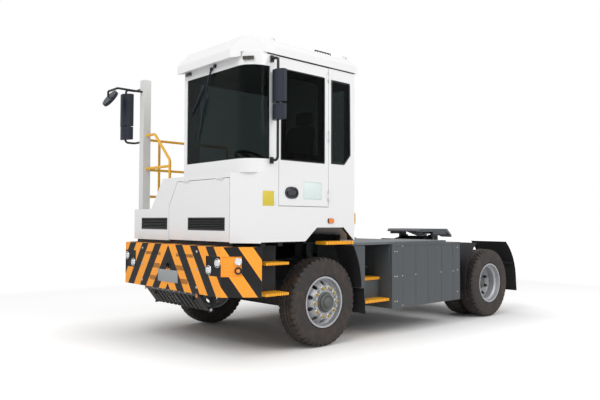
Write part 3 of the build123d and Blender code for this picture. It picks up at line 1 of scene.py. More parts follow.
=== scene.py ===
"""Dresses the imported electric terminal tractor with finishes, tyres, seat, trim, camera and studio light."""
import logging
import math
from dataclasses import dataclass
from enum import Enum
from functools import cache
from typing import Iterable, Sequence

import bmesh
import bpy
from mathutils import Matrix, Vector


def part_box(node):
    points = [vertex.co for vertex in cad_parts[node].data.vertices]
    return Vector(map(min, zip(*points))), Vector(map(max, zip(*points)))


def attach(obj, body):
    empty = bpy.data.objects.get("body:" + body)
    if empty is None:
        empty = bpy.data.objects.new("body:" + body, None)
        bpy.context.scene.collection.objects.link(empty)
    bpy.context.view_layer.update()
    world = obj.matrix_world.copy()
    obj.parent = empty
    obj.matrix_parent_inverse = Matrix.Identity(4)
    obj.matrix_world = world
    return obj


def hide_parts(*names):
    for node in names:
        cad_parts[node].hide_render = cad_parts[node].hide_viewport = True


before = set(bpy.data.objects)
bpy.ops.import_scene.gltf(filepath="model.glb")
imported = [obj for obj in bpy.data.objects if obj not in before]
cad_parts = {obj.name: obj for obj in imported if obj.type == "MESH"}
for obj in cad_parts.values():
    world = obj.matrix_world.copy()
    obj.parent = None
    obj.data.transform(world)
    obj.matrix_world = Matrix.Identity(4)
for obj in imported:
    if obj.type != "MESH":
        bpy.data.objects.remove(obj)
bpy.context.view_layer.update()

LOG = logging.getLogger("tractor")
Point = tuple[float, float, float]
Flat = tuple[float, float]
Colour = tuple[float, float, float]
Zone = tuple[Point, Point, Colour]
Socket = bpy.types.NodeSocket


class Axis(Enum):
    """Names the axis that an outline is pushed along."""

    X = 0
    Y = 1
    Z = 2

    def point(self, first: float, second: float, along: float) -> Point:
        """Gives the point at two places across the axis and one along it.

        Args:
            first: The place on the first of the other two axes.
            second: The place on the second of them.
            along: The place along this axis.

        Returns:
            The point.
        """
        place = [first, second]
        place.insert(self.value, along)
        return tuple(place)


def rgba(colour: Colour, alpha: float = 1.0) -> tuple[float, float, float, float]:
    """Gives a colour with its alpha."""
    return (*colour, alpha)


class NodeSheet:
    """Adds nodes to one node tree and joins their sockets."""

    def __init__(self, tree: bpy.types.NodeTree) -> None:
        """Keeps the tree that the nodes go into."""
        self.tree = tree

    def add(self, kind: str, inputs: dict | None = None, **settings: object) -> bpy.types.Node:
        """Adds a node.

        Args:
            kind: Blender's name of the node's type.
            inputs: Values or sockets by input name or index.
            **settings: The node's own properties.

        Returns:
            The new node.
        """
        node = self.tree.nodes.new(kind)
        for name, value in settings.items():
            setattr(node, name, value)
        for key, value in (inputs or {}).items():
            if isinstance(value, Socket):
                self.tree.links.new(value, node.inputs[key])
            else:
                node.inputs[key].default_value = value
        return node

    def calc(self, operation: str, first: object, second: object = 0.0, third: object = 0.0) -> Socket:
        """Adds a math node and gives its result."""
        node = self.add("ShaderNodeMath", {0: first, 1: second, 2: third}, operation=operation)
        return node.outputs[0]

    def blend(self, factor: object, first: object, second: object, mode: str = "MIX") -> Socket:
        """Mixes two colours by a factor and gives the result."""
        node = self.add("ShaderNodeMix", {0: factor, 6: first, 7: second}, data_type="RGBA", blend_type=mode)
        return node.outputs[2]

    def noise(self, vector: Socket, scale: object, detail: float = 4.0, roughness: float = 0.55) -> Socket:
        """Adds a noise texture and gives its value."""
        inputs = {"Vector": vector, "Scale": scale, "Detail": detail, "Roughness": roughness}
        return self.add("ShaderNodeTexNoise", inputs).outputs[0]

    def remap(self, value: Socket, low: object, high: object, to_low: float = 0.0, to_high: float = 1.0) -> Socket:
        """Maps a value's range onto another, held inside it."""
        inputs = {0: value, 1: low, 2: high, 3: to_low, 4: to_high}
        return self.add("ShaderNodeMapRange", inputs).outputs[0]

    def object_point(self) -> Socket:
        """Gives the point in the piece's own frame, which rides with it."""
        return self.add("ShaderNodeTexCoord").outputs["Object"]

    def group(self, tree: bpy.types.NodeTree, inputs: dict) -> bpy.types.bpy_prop_collection:
        """Places a shared effect with its own values and gives its outputs."""
        return self.add("ShaderNodeGroup", inputs, node_tree=tree).outputs

    def bump(self, height: Socket, strength: float, distance: float) -> Socket:
        """Turns a height into a bumped normal."""
        return self.add("ShaderNodeBump", {"Height": height, "Strength": strength, "Distance": distance}).outputs[0]

    def feed(self, shader: bpy.types.Node, **sockets: Socket) -> None:
        """Joins sockets to a shader's inputs by name, with underscores for spaces."""
        for label, socket in sockets.items():
            self.tree.links.new(socket, shader.inputs[label.replace("_", " ")])

    def inside(self, point: Socket, low: Point, high: Point) -> Socket:
        """Gives 1 inside a box and 0 outside it.

        Args:
            point: The point in the piece's own frame.
            low: The box's lowest corner.
            high: Its highest corner.

        Returns:
            The mask.
        """
        parts = self.add("ShaderNodeSeparateXYZ", {0: point}).outputs
        masks = []
        for axis in range(3):
            middle = (low[axis] + high[axis]) / 2
            reach = self.calc("ABSOLUTE", self.calc("SUBTRACT", parts[axis], middle))
            masks.append(self.calc("LESS_THAN", reach, (high[axis] - low[axis]) / 2))
        return self.calc("MULTIPLY", self.calc("MULTIPLY", masks[0], masks[1]), masks[2])

    def zoned(self, colour: object, zones: Sequence[Zone]) -> object:
        """Lays other colours over a colour inside boxes.

        Args:
            colour: The colour, or its socket, outside the boxes.
            zones: Lowest corner, highest corner and colour of each box.

        Returns:
            The colour, or the socket that carries it.
        """
        point = self.object_point() if zones else None
        for low, high, other in zones:
            colour = self.blend(self.inside(point, low, high), colour, rgba(other))
        return colour


class EffectGroups:
    """Builds the shared shader effects, each one once."""

    @staticmethod
    def start(name: str, inputs: Sequence[tuple], outputs: Sequence[tuple]) -> tuple[NodeSheet, dict, dict]:
        """Opens a new group.

        Args:
            name: The group's name.
            inputs: Name, socket type and default value of each input.
            outputs: Name and socket type of each output.

        Returns:
            The sheet, the inputs' sockets by name, and the group's output sockets by name.
        """
        tree = bpy.data.node_groups.new(name, "ShaderNodeTree")
        for label, kind, value in inputs:
            socket = tree.interface.new_socket(name=label, in_out="INPUT", socket_type=kind)
            socket.default_value = value
        for label, kind in outputs:
            tree.interface.new_socket(name=label, in_out="OUTPUT", socket_type=kind)
        sheet = NodeSheet(tree)
        entry = sheet.add("NodeGroupInput").outputs
        leave = sheet.add("NodeGroupOutput").inputs
        return sheet, {row[0]: entry[row[0]] for row in inputs}, {row[0]: leave[row[0]] for row in outputs}

    @staticmethod
    @cache
    def weathering() -> bpy.types.NodeTree:
        """Gives the group for mottled paint with road dust that thickens towards the ground.

        Returns:
            The group's tree.
        """
        sheet, given, out = EffectGroups.start(
            "weathering",
            (
                ("Base Color", "NodeSocketColor", rgba((0.5, 0.5, 0.5))),
                ("Dust Color", "NodeSocketColor", rgba((0.30, 0.25, 0.20))),
                ("Dust", "NodeSocketFloat", 0.2),
                ("Dust Top", "NodeSocketFloat", 1.2),
                ("Mottle", "NodeSocketFloat", 0.1),
                ("Streak", "NodeSocketFloat", 0.0),
                ("Scale", "NodeSocketFloat", 3.0),
                ("Roughness", "NodeSocketFloat", 0.4),
            ),
            (("Color", "NodeSocketColor"), ("Roughness", "NodeSocketFloat"), ("Height", "NodeSocketFloat")),
        )
        point = sheet.object_point()
        scale = given["Scale"]
        broad = sheet.noise(point, scale, 5.0)
        fine = sheet.noise(point, sheet.calc("MULTIPLY", scale, 14.0), 3.0, 0.65)
        stretched = sheet.add("ShaderNodeVectorMath", {0: point, 1: (1.0, 1.0, 0.06)}, operation="MULTIPLY").outputs[0]
        streaks = sheet.noise(stretched, sheet.calc("MULTIPLY", scale, 7.0), 3.0, 0.6)
        half_mottle = sheet.calc("MULTIPLY", given["Mottle"], 0.5)
        change = sheet.calc("MULTIPLY", sheet.calc("SUBTRACT", broad, 0.5), given["Mottle"])
        change = sheet.calc("MULTIPLY_ADD", sheet.calc("SUBTRACT", fine, 0.5), half_mottle, change)
        change = sheet.calc("MULTIPLY_ADD", sheet.calc("SUBTRACT", streaks, 0.5), given["Streak"], change)
        shade = sheet.calc("MAXIMUM", sheet.calc("ADD", change, 1.0), 0.0)
        tinted = sheet.add("ShaderNodeVectorMath", {0: given["Base Color"], 3: shade}, operation="SCALE").outputs[0]
        height = sheet.add("ShaderNodeSeparateXYZ", {0: point}).outputs[2]
        low = sheet.remap(height, given["Dust Top"], 0.0)
        patchy = sheet.remap(sheet.calc("MULTIPLY_ADD", fine, 0.35, broad), 0.45, 0.95)
        amount = sheet.calc("MULTIPLY", sheet.calc("MULTIPLY_ADD", patchy, 0.8, 0.2), low)
        mask = sheet.calc("MINIMUM", sheet.calc("MULTIPLY", amount, given["Dust"]), 1.0)
        link = sheet.tree.links.new
        link(sheet.blend(mask, tinted, given["Dust Color"]), out["Color"])
        rough = sheet.calc("MULTIPLY_ADD", sheet.calc("SUBTRACT", fine, 0.5), 0.12, given["Roughness"])
        link(sheet.calc("MULTIPLY_ADD", mask, 0.35, rough), out["Roughness"])
        link(sheet.calc("MULTIPLY_ADD", fine, 0.6, broad), out["Height"])
        return sheet.tree

    @staticmethod
    @cache
    def edge_wear() -> bpy.types.NodeTree:
        """Gives the group for the mask of rubbed edges.

        Returns:
            The group's tree.
        """
        sheet, given, out = EffectGroups.start(
            "edge_wear",
            (
                ("Radius", "NodeSocketFloat", 0.006),
                ("Amount", "NodeSocketFloat", 0.5),
                ("Scale", "NodeSocketFloat", 25.0),
            ),
            (("Mask", "NodeSocketFloat"),),
        )
        rounded = sheet.add("ShaderNodeBevel", {"Radius": given["Radius"]}, samples=4).outputs[0]
        flat = sheet.add("ShaderNodeNewGeometry").outputs["Normal"]
        match = sheet.add("ShaderNodeVectorMath", {0: rounded, 1: flat}, operation="DOT_PRODUCT").outputs["Value"]
        edge = sheet.remap(match, 0.995, 0.90)
        broken = sheet.remap(sheet.noise(sheet.object_point(), given["Scale"], 6.0, 0.7), 0.42, 0.62)
        mask = sheet.calc("MULTIPLY", sheet.calc("MULTIPLY", edge, broken), given["Amount"])
        sheet.tree.links.new(mask, out["Mask"])
        return sheet.tree

    @staticmethod
    @cache
    def grain() -> bpy.types.NodeTree:
        """Gives the group for the fine pebbled skin of moulded plastic and rubber.

        Returns:
            The group's tree.
        """
        sheet, given, out = EffectGroups.start(
            "grain", (("Scale", "NodeSocketFloat", 400.0),), (("Height", "NodeSocketFloat"),)
        )
        point = sheet.object_point()
        inputs = {"Vector": point, "Scale": given["Scale"]}
        cells = sheet.add("ShaderNodeTexVoronoi", inputs, feature="SMOOTH_F1").outputs[0]
        soft = sheet.noise(point, sheet.calc("MULTIPLY", given["Scale"], 0.3), 2.0)
        sheet.tree.links.new(sheet.calc("MULTIPLY_ADD", soft, 0.5, cells), out["Height"])
        return sheet.tree

    @staticmethod
    @cache
    def hazard_stripes() -> bpy.types.NodeTree:
        """Gives the group for slanted stripes that mirror at the middle and wrap round the corner facets.

        Returns:
            The group's tree.
        """
        sheet, given, out = EffectGroups.start(
            "hazard_stripes",
            (
                ("Light", "NodeSocketColor", rgba((1.0, 0.4, 0.05))),
                ("Dark", "NodeSocketColor", rgba((0.02, 0.02, 0.02))),
                ("Pitch", "NodeSocketFloat", 0.306),
                # ten pitches, which keep the phase above zero, and the first stripe's place
                ("Shift", "NodeSocketFloat", 3.064),
                ("Lean", "NodeSocketFloat", 0.70),
                ("Top", "NodeSocketFloat", 1.166),
                ("Fold", "NodeSocketFloat", 1.045),
                ("Facet Stretch", "NodeSocketFloat", 0.648),
            ),
            (("Color", "NodeSocketColor"),),
        )
        parts = sheet.add("ShaderNodeSeparateXYZ", {0: sheet.object_point()}).outputs
        side = sheet.calc("ABSOLUTE", parts[0])
        past = sheet.calc("MAXIMUM", sheet.calc("SUBTRACT", side, given["Fold"]), 0.0)
        along = sheet.calc("MULTIPLY_ADD", past, given["Facet Stretch"], side)
        drop = sheet.calc("SUBTRACT", given["Top"], parts[2])
        phase = sheet.calc("SUBTRACT", along, sheet.calc("MULTIPLY", drop, given["Lean"]))
        turn = sheet.calc("FRACT", sheet.calc("DIVIDE", sheet.calc("ADD", phase, given["Shift"]), given["Pitch"]))
        mask = sheet.calc("LESS_THAN", turn, 0.5)
        sheet.tree.links.new(sheet.blend(mask, given["Dark"], given["Light"]), out["Color"])
        return sheet.tree


def principled(name: str, **values: object) -> tuple[bpy.types.Material, NodeSheet, bpy.types.Node]:
    """Starts a material with one surface shader.

    Args:
        name: The material's name.
        **values: Shader inputs by name, with underscores for spaces.

    Returns:
        The material, its sheet and its shader node.
    """
    material = bpy.data.materials.new(name)
    material.use_nodes = True
    shader = material.node_tree.nodes["Principled BSDF"]
    for label, value in values.items():
        shader.inputs[label.replace("_", " ")].default_value = value
    return material, NodeSheet(material.node_tree), shader


@dataclass(frozen=True)
class Paint:
    """A painted or cast surface with mottling, dust, streaks and rubbed edges."""

    name: str
    colour: Colour
    roughness: float = 0.4
    metallic: float = 0.0
    coat: float = 0.0
    dust: float = 0.2
    dust_top: float = 1.2
    dust_colour: Colour = (0.30, 0.25, 0.20)
    mottle: float = 0.08
    streak: float = 0.0
    scale: float = 3.0
    wear: float = 0.0
    wear_colour: Colour = (0.25, 0.24, 0.23)
    bump: float = 0.05
    bump_depth: float = 0.0005
    specular: float = 0.5
    zones: tuple[Zone, ...] = ()

    def base_colour(self, sheet: NodeSheet) -> object:
        """Gives the colour, or the socket that carries it, before dust and wear."""
        return sheet.zoned(rgba(self.colour), self.zones)

    def build(self) -> bpy.types.Material:
        """Builds the material.

        Returns:
            The finished material.
        """
        material, sheet, shader = principled(
            self.name, Metallic=self.metallic, Coat_Weight=self.coat, Specular_IOR_Level=self.specular
        )
        skin = sheet.group(EffectGroups.weathering(), {
            "Base Color": self.base_colour(sheet),
            "Dust Color": rgba(self.dust_colour),
            "Dust": self.dust,
            "Dust Top": self.dust_top,
            "Mottle": self.mottle,
            "Streak": self.streak,
            "Scale": self.scale,
            "Roughness": self.roughness,
        })
        colour = skin["Color"]
        if self.wear > 0.0:
            rubbed = sheet.group(EffectGroups.edge_wear(), {"Amount": self.wear})
            colour = sheet.blend(rubbed["Mask"], colour, rgba(self.wear_colour))
        normal = sheet.bump(skin["Height"], self.bump, self.bump_depth)
        sheet.feed(shader, Base_Color=colour, Roughness=skin["Roughness"], Normal=normal)
        return material


@dataclass(frozen=True)
class BodyWhite(Paint):
    """The glossy white of cab and body, with the zones that stay dark."""

    colour: Colour = (0.80, 0.80, 0.805)
    roughness: float = 0.30
    coat: float = 0.3
    dust: float = 0.06
    dust_top: float = 1.6
    mottle: float = 0.015
    scale: float = 1.6
    bump: float = 0.012


@dataclass(frozen=True)
class StripedPaint(Paint):
    """The bumper's paint: slanted warning stripes under the same dust and wear."""

    dark: Colour = (0.016, 0.016, 0.018)

    def base_colour(self, sheet: NodeSheet) -> object:
        """Gives the stripes' colour."""
        given = {"Light": rgba(self.colour), "Dark": rgba(self.dark)}
        return sheet.zoned(sheet.group(EffectGroups.hazard_stripes(), given)["Color"], self.zones)


@dataclass(frozen=True)
class Moulded:
    """Grained plastic or rubber."""

    name: str
    colour: Colour
    roughness: float = 0.5
    grain_scale: float = 500.0
    grain: float = 0.25
    grain_depth: float = 0.0006
    mottle: float = 0.2
    dust: float = 0.12
    soil_scale: float = 5.0
    specular: float = 0.22

    def build(self) -> bpy.types.Material:
        """Builds the material.

        Returns:
            The finished material.
        """
        material, sheet, shader = principled(self.name, Specular_IOR_Level=self.specular)
        grain = sheet.group(EffectGroups.grain(), {"Scale": self.grain_scale})
        soil = sheet.group(EffectGroups.weathering(), {
            "Base Color": rgba(self.colour),
            "Mottle": self.mottle,
            "Dust": self.dust,
            "Scale": self.soil_scale,
            "Roughness": self.roughness,
        })
        normal = sheet.bump(grain["Height"], self.grain, self.grain_depth)
        sheet.feed(shader, Base_Color=soil["Color"], Roughness=soil["Roughness"], Normal=normal)
        return material


@dataclass(frozen=True)
class TyreRubber:
    """Worn tyre rubber with brown soil patches on the sidewall and dust in the tread."""

    name: str
    colour: Colour = (0.022, 0.020, 0.020)
    soil: Colour = (0.115, 0.072, 0.052)

    def build(self) -> bpy.types.Material:
        """Builds the material.

        Returns:
            The finished material.
        """
        material, sheet, shader = principled(self.name)
        point = sheet.object_point()
        broad = sheet.noise(point, 5.0, 6.0, 0.62)
        patches = sheet.noise(point, 13.0, 5.0, 0.6)
        both = sheet.calc("MULTIPLY_ADD", patches, 0.5, sheet.calc("MULTIPLY", broad, 0.5))
        mask = sheet.remap(both, 0.47, 0.64, 0.04, 0.62)
        fine = sheet.noise(point, 160.0, 3.0, 0.7)
        mask = sheet.calc("MULTIPLY", mask, sheet.remap(fine, 0.2, 0.7, 0.6, 1.0))
        colour = sheet.blend(mask, rgba(self.colour), rgba(self.soil))
        rough = sheet.remap(both, 0.3, 0.7, 0.62, 0.9)
        normal = sheet.bump(sheet.calc("MULTIPLY_ADD", fine, 0.4, patches), 0.35, 0.002)
        sheet.feed(shader, Base_Color=colour, Roughness=rough, Normal=normal)
        return material


@dataclass(frozen=True)
class TintedGlass:
    """Dark safety glass that lets a little light through."""

    name: str
    colour: Colour = (0.125, 0.152, 0.148)
    specular: float = 0.15

    def build(self) -> bpy.types.Material:
        """Builds the material.

        Returns:
            The finished material.
        """
        material, sheet, shader = principled(
            self.name, Metallic=0.0, IOR=1.12, Transmission_Weight=1.0, Specular_IOR_Level=self.specular
        )
        film = sheet.noise(sheet.object_point(), 2.2, 4.0, 0.6)
        deep = tuple(0.86 * part for part in self.colour)
        colour = sheet.blend(film, rgba(deep), rgba(self.colour))
        sheet.feed(shader, Base_Color=colour, Roughness=sheet.remap(film, 0.3, 0.7, 0.01, 0.05))
        return material


@dataclass(frozen=True)
class Lens:
    """A moulded lamp lens with fine optic ribs."""

    name: str
    colour: Colour
    clear: float = 0.5
    zones: tuple[Zone, ...] = ()

    def build(self) -> bpy.types.Material:
        """Builds the material.

        Returns:
            The finished material.
        """
        material, sheet, shader = principled(
            self.name, Metallic=0.0, IOR=1.49, Transmission_Weight=self.clear, Coat_Weight=0.5
        )
        point = sheet.object_point()
        wave = {"Vector": point, "Scale": 55.0, "Distortion": 0.4, "Detail": 1.0}
        ribs = sheet.add("ShaderNodeTexWave", wave, bands_direction="X").outputs[1]
        cloud = sheet.noise(point, 30.0, 3.0)
        pale = tuple(min(1.0, 1.25 * part + 0.03) for part in self.colour)
        colour = sheet.zoned(sheet.blend(cloud, rgba(self.colour), rgba(pale)), self.zones)
        rough = sheet.remap(cloud, 0.2, 0.8, 0.08, 0.2)
        sheet.feed(shader, Base_Color=colour, Roughness=rough, Normal=sheet.bump(ribs, 0.3, 0.0015))
        return material


@dataclass(frozen=True)
class SeatCloth:
    """Woven seat cloth with a soft sheen."""

    name: str
    colour: Colour = (0.045, 0.047, 0.055)
    thread: Colour = (0.085, 0.09, 0.105)

    def build(self) -> bpy.types.Material:
        """Builds the material.

        Returns:
            The finished material.
        """
        material, sheet, shader = principled(self.name, Sheen_Weight=0.3, Sheen_Roughness=0.5)
        point = sheet.object_point()
        wave = {"Vector": point, "Scale": 130.0, "Distortion": 0.6}
        warp = sheet.add("ShaderNodeTexWave", wave, bands_direction="X").outputs[1]
        weft = sheet.add("ShaderNodeTexWave", wave, bands_direction="DIAGONAL").outputs[1]
        weave = sheet.calc("MULTIPLY", warp, weft)
        nap = sheet.noise(point, 24.0, 4.0, 0.6)
        mask = sheet.calc("MULTIPLY_ADD", nap, 0.5, sheet.calc("MULTIPLY", weave, 0.5))
        colour = sheet.blend(mask, rgba(self.colour), rgba(self.thread))
        rough = sheet.remap(nap, 0.2, 0.8, 0.8, 0.95)
        sheet.feed(shader, Base_Color=colour, Roughness=rough, Normal=sheet.bump(weave, 0.4, 0.001))
        return material


def both_sides(*zones: Zone) -> tuple[Zone, ...]:
    """Gives each zone of the left side with its mirror on the right.

    Args:
        *zones: Lowest corner, highest corner and colour of each zone.

    Returns:
        Each zone followed by its mirror.
    """
    pairs = (
        (zone, ((-zone[1][0], *zone[0][1:]), (-zone[0][0], *zone[1][1:]), zone[2]))
        for zone in zones
    )
    return tuple(zone for pair in pairs for zone in pair)


class FinishShelf:
    """Holds every finish by its plain name and builds each material once."""

    finishes = (
        BodyWhite("cab_white"),
        BodyWhite("nose_white", zones=(
            ((-0.8502, -2.6012, 1.3298), (-0.2198, -2.57, 1.4732), (0.014, 0.015, 0.017)),
            ((0.2298, -2.6012, 1.3298), (0.9502, -2.57, 1.4732), (0.014, 0.015, 0.017)),
        )),
        BodyWhite("door_white", zones=(((1.3004, -2.08, 1.675), (1.33, -1.88, 1.81), (0.014, 0.016, 0.024)),)),
        # the near-black zones inside the front wheel arches are painted shade
        BodyWhite("skirt_white", zones=both_sides(
            ((1.20, -1.79, 1.20), (1.2985, -0.97, 1.3685), (0.012, 0.012, 0.013)),
        )),
        StripedPaint(
            "bumper_stripes", (1.0, 0.385, 0.045), roughness=0.45, dust=0.08, mottle=0.07, wear=0.35, specular=0.15,
            zones=both_sides(
                ((0.772, -2.7155, 0.861), (1.034, -2.705, 1.069), (0.012, 0.012, 0.014)),
                ((1.046, -2.72, 0.861), (1.172, -2.53, 1.069), (1.0, 0.36, 0.04)),
            ),
        ),
        Paint("step_yellow", (1.0, 0.47, 0.010), roughness=0.42, dust=0.12, dust_top=1.3, wear=0.5),
        Paint("rail_yellow", (0.86, 0.45, 0.016), roughness=0.38, dust=0.05, dust_top=2.6, wear=0.25),
        Paint(
            "frame_black", (0.012, 0.013, 0.015), roughness=0.45, dust=0.16, dust_top=1.1, mottle=0.25, wear=0.22,
            specular=0.2,
        ),
        Paint(
            "step_bay", (0.012, 0.013, 0.015), roughness=0.45, dust=0.12, dust_top=1.1, mottle=0.2, wear=0.3,
            specular=0.25, zones=(((-1.30, -1.00, 0.35), (1.30, -0.25, 1.20), (0.080, 0.090, 0.098)),),
        ),
        Paint(
            "box_grey", (0.080, 0.090, 0.098), roughness=0.45, specular=0.3, dust=0.10, dust_top=1.0, mottle=0.10,
            streak=0.28, scale=1.5, wear=0.35,
        ),
        Paint(
            "deck_grey", (0.115, 0.132, 0.145), roughness=0.48, specular=0.3, dust=0.16, dust_top=1.6, mottle=0.14,
            wear=0.4,
        ),
        Paint("rim_silver", (0.44, 0.455, 0.485), roughness=0.42, metallic=0.3, dust=0.26, dust_top=1.3, scale=6.0),
        Paint(
            "hub_grey", (0.085, 0.095, 0.098), roughness=0.5, metallic=0.3, dust=0.30, dust_top=1.3, mottle=0.2,
            scale=9.0,
        ),
        Paint(
            "axle_black", (0.020, 0.020, 0.021), roughness=0.6, dust=0.30, dust_top=1.1, mottle=0.3, bump=0.3,
            bump_depth=0.002, specular=0.25,
        ),
        Paint(
            "plate_steel", (0.085, 0.092, 0.104), roughness=0.42, metallic=0.5, dust=0.10, dust_top=2.0, mottle=0.35,
            scale=6.0, wear=0.7,
        ),
        Paint(
            "mirror_post", (0.014, 0.015, 0.019), dust=0.03, dust_top=3.2, specular=0.3,
            zones=(((-1.1575, -2.4845, 1.575), (-1.0525, -2.3795, 3.290), (0.70, 0.71, 0.69)),),
        ),
        Paint("zinc", (0.62, 0.62, 0.60), roughness=0.33, metallic=0.9, dust=0.10, mottle=0.15, scale=30.0),
        Paint("brass", (0.52, 0.40, 0.16), roughness=0.38, metallic=0.8, mottle=0.25, scale=40.0),
        Paint("chrome", (0.72, 0.73, 0.75), roughness=0.12, metallic=1.0, dust=0.08, mottle=0.04, bump=0.0),
        Paint("label_yellow", (0.66, 0.52, 0.045), roughness=0.5, dust=0.02, mottle=0.12, scale=12.0),
        Paint("label_pale", (0.70, 0.79, 0.77), roughness=0.35, dust=0.02, mottle=0.05, scale=8.0),
        Paint("label_green", (0.25, 0.42, 0.30), dust=0.02, mottle=0.05, scale=8.0),
        Paint(
            "plate_blank", (0.34, 0.355, 0.37), roughness=0.42, metallic=0.4, dust=0.12, mottle=0.12, scale=9.0,
            wear=0.3,
        ),
        Paint("mirror_gloss", (0.012, 0.014, 0.022), roughness=0.22, dust=0.03, specular=0.45, bump=0.02),
        Paint("mirror_silver", (0.80, 0.82, 0.84), roughness=0.05, metallic=1.0, dust=0.02, mottle=0.02, bump=0.0),
        Moulded("mirror_black", (0.022, 0.026, 0.038), roughness=0.42),
        Moulded("guard_black", (0.016, 0.017, 0.020), grain_scale=260.0),
        Moulded("seal_rubber", (0.012, 0.013, 0.017), roughness=0.55, grain_scale=700.0),
        Moulded("dash_black", (0.020, 0.021, 0.023), roughness=0.6),
        Moulded("trim_grey", (0.09, 0.095, 0.10), roughness=0.6),
        TyreRubber("tyre_rubber"),
        TintedGlass("tinted_glass"),
        Lens("lens_clear", (0.86, 0.87, 0.88), 0.25),
        Lens(
            "lens_mixed", (0.80, 0.81, 0.82), 0.1,
            zones=both_sides(
                ((1.29, -1.42, 1.40), (1.33, -1.34, 1.48), (1.0, 0.22, 0.008)),
                ((1.10, -2.66, 0.89), (1.25, -2.54, 0.96), (1.0, 0.34, 0.06)),
            ) + (
                ((-0.5, 2.6, 0.7), (0.5, 2.8, 0.9), (0.50, 0.008, 0.008)),
                ((0.0, -2.7, 3.05), (1.4, -2.3, 3.2), (0.030, 0.022, 0.014)),
            ),
        ),
        Lens("lens_amber", (1.0, 0.22, 0.008), 0.15),
        SeatCloth("seat_cloth"),
    )

    @classmethod
    @cache
    def take(cls, name: str) -> bpy.types.Material:
        """Gives the material of a finish by name."""
        return next(finish for finish in cls.finishes if finish.name == name).build()


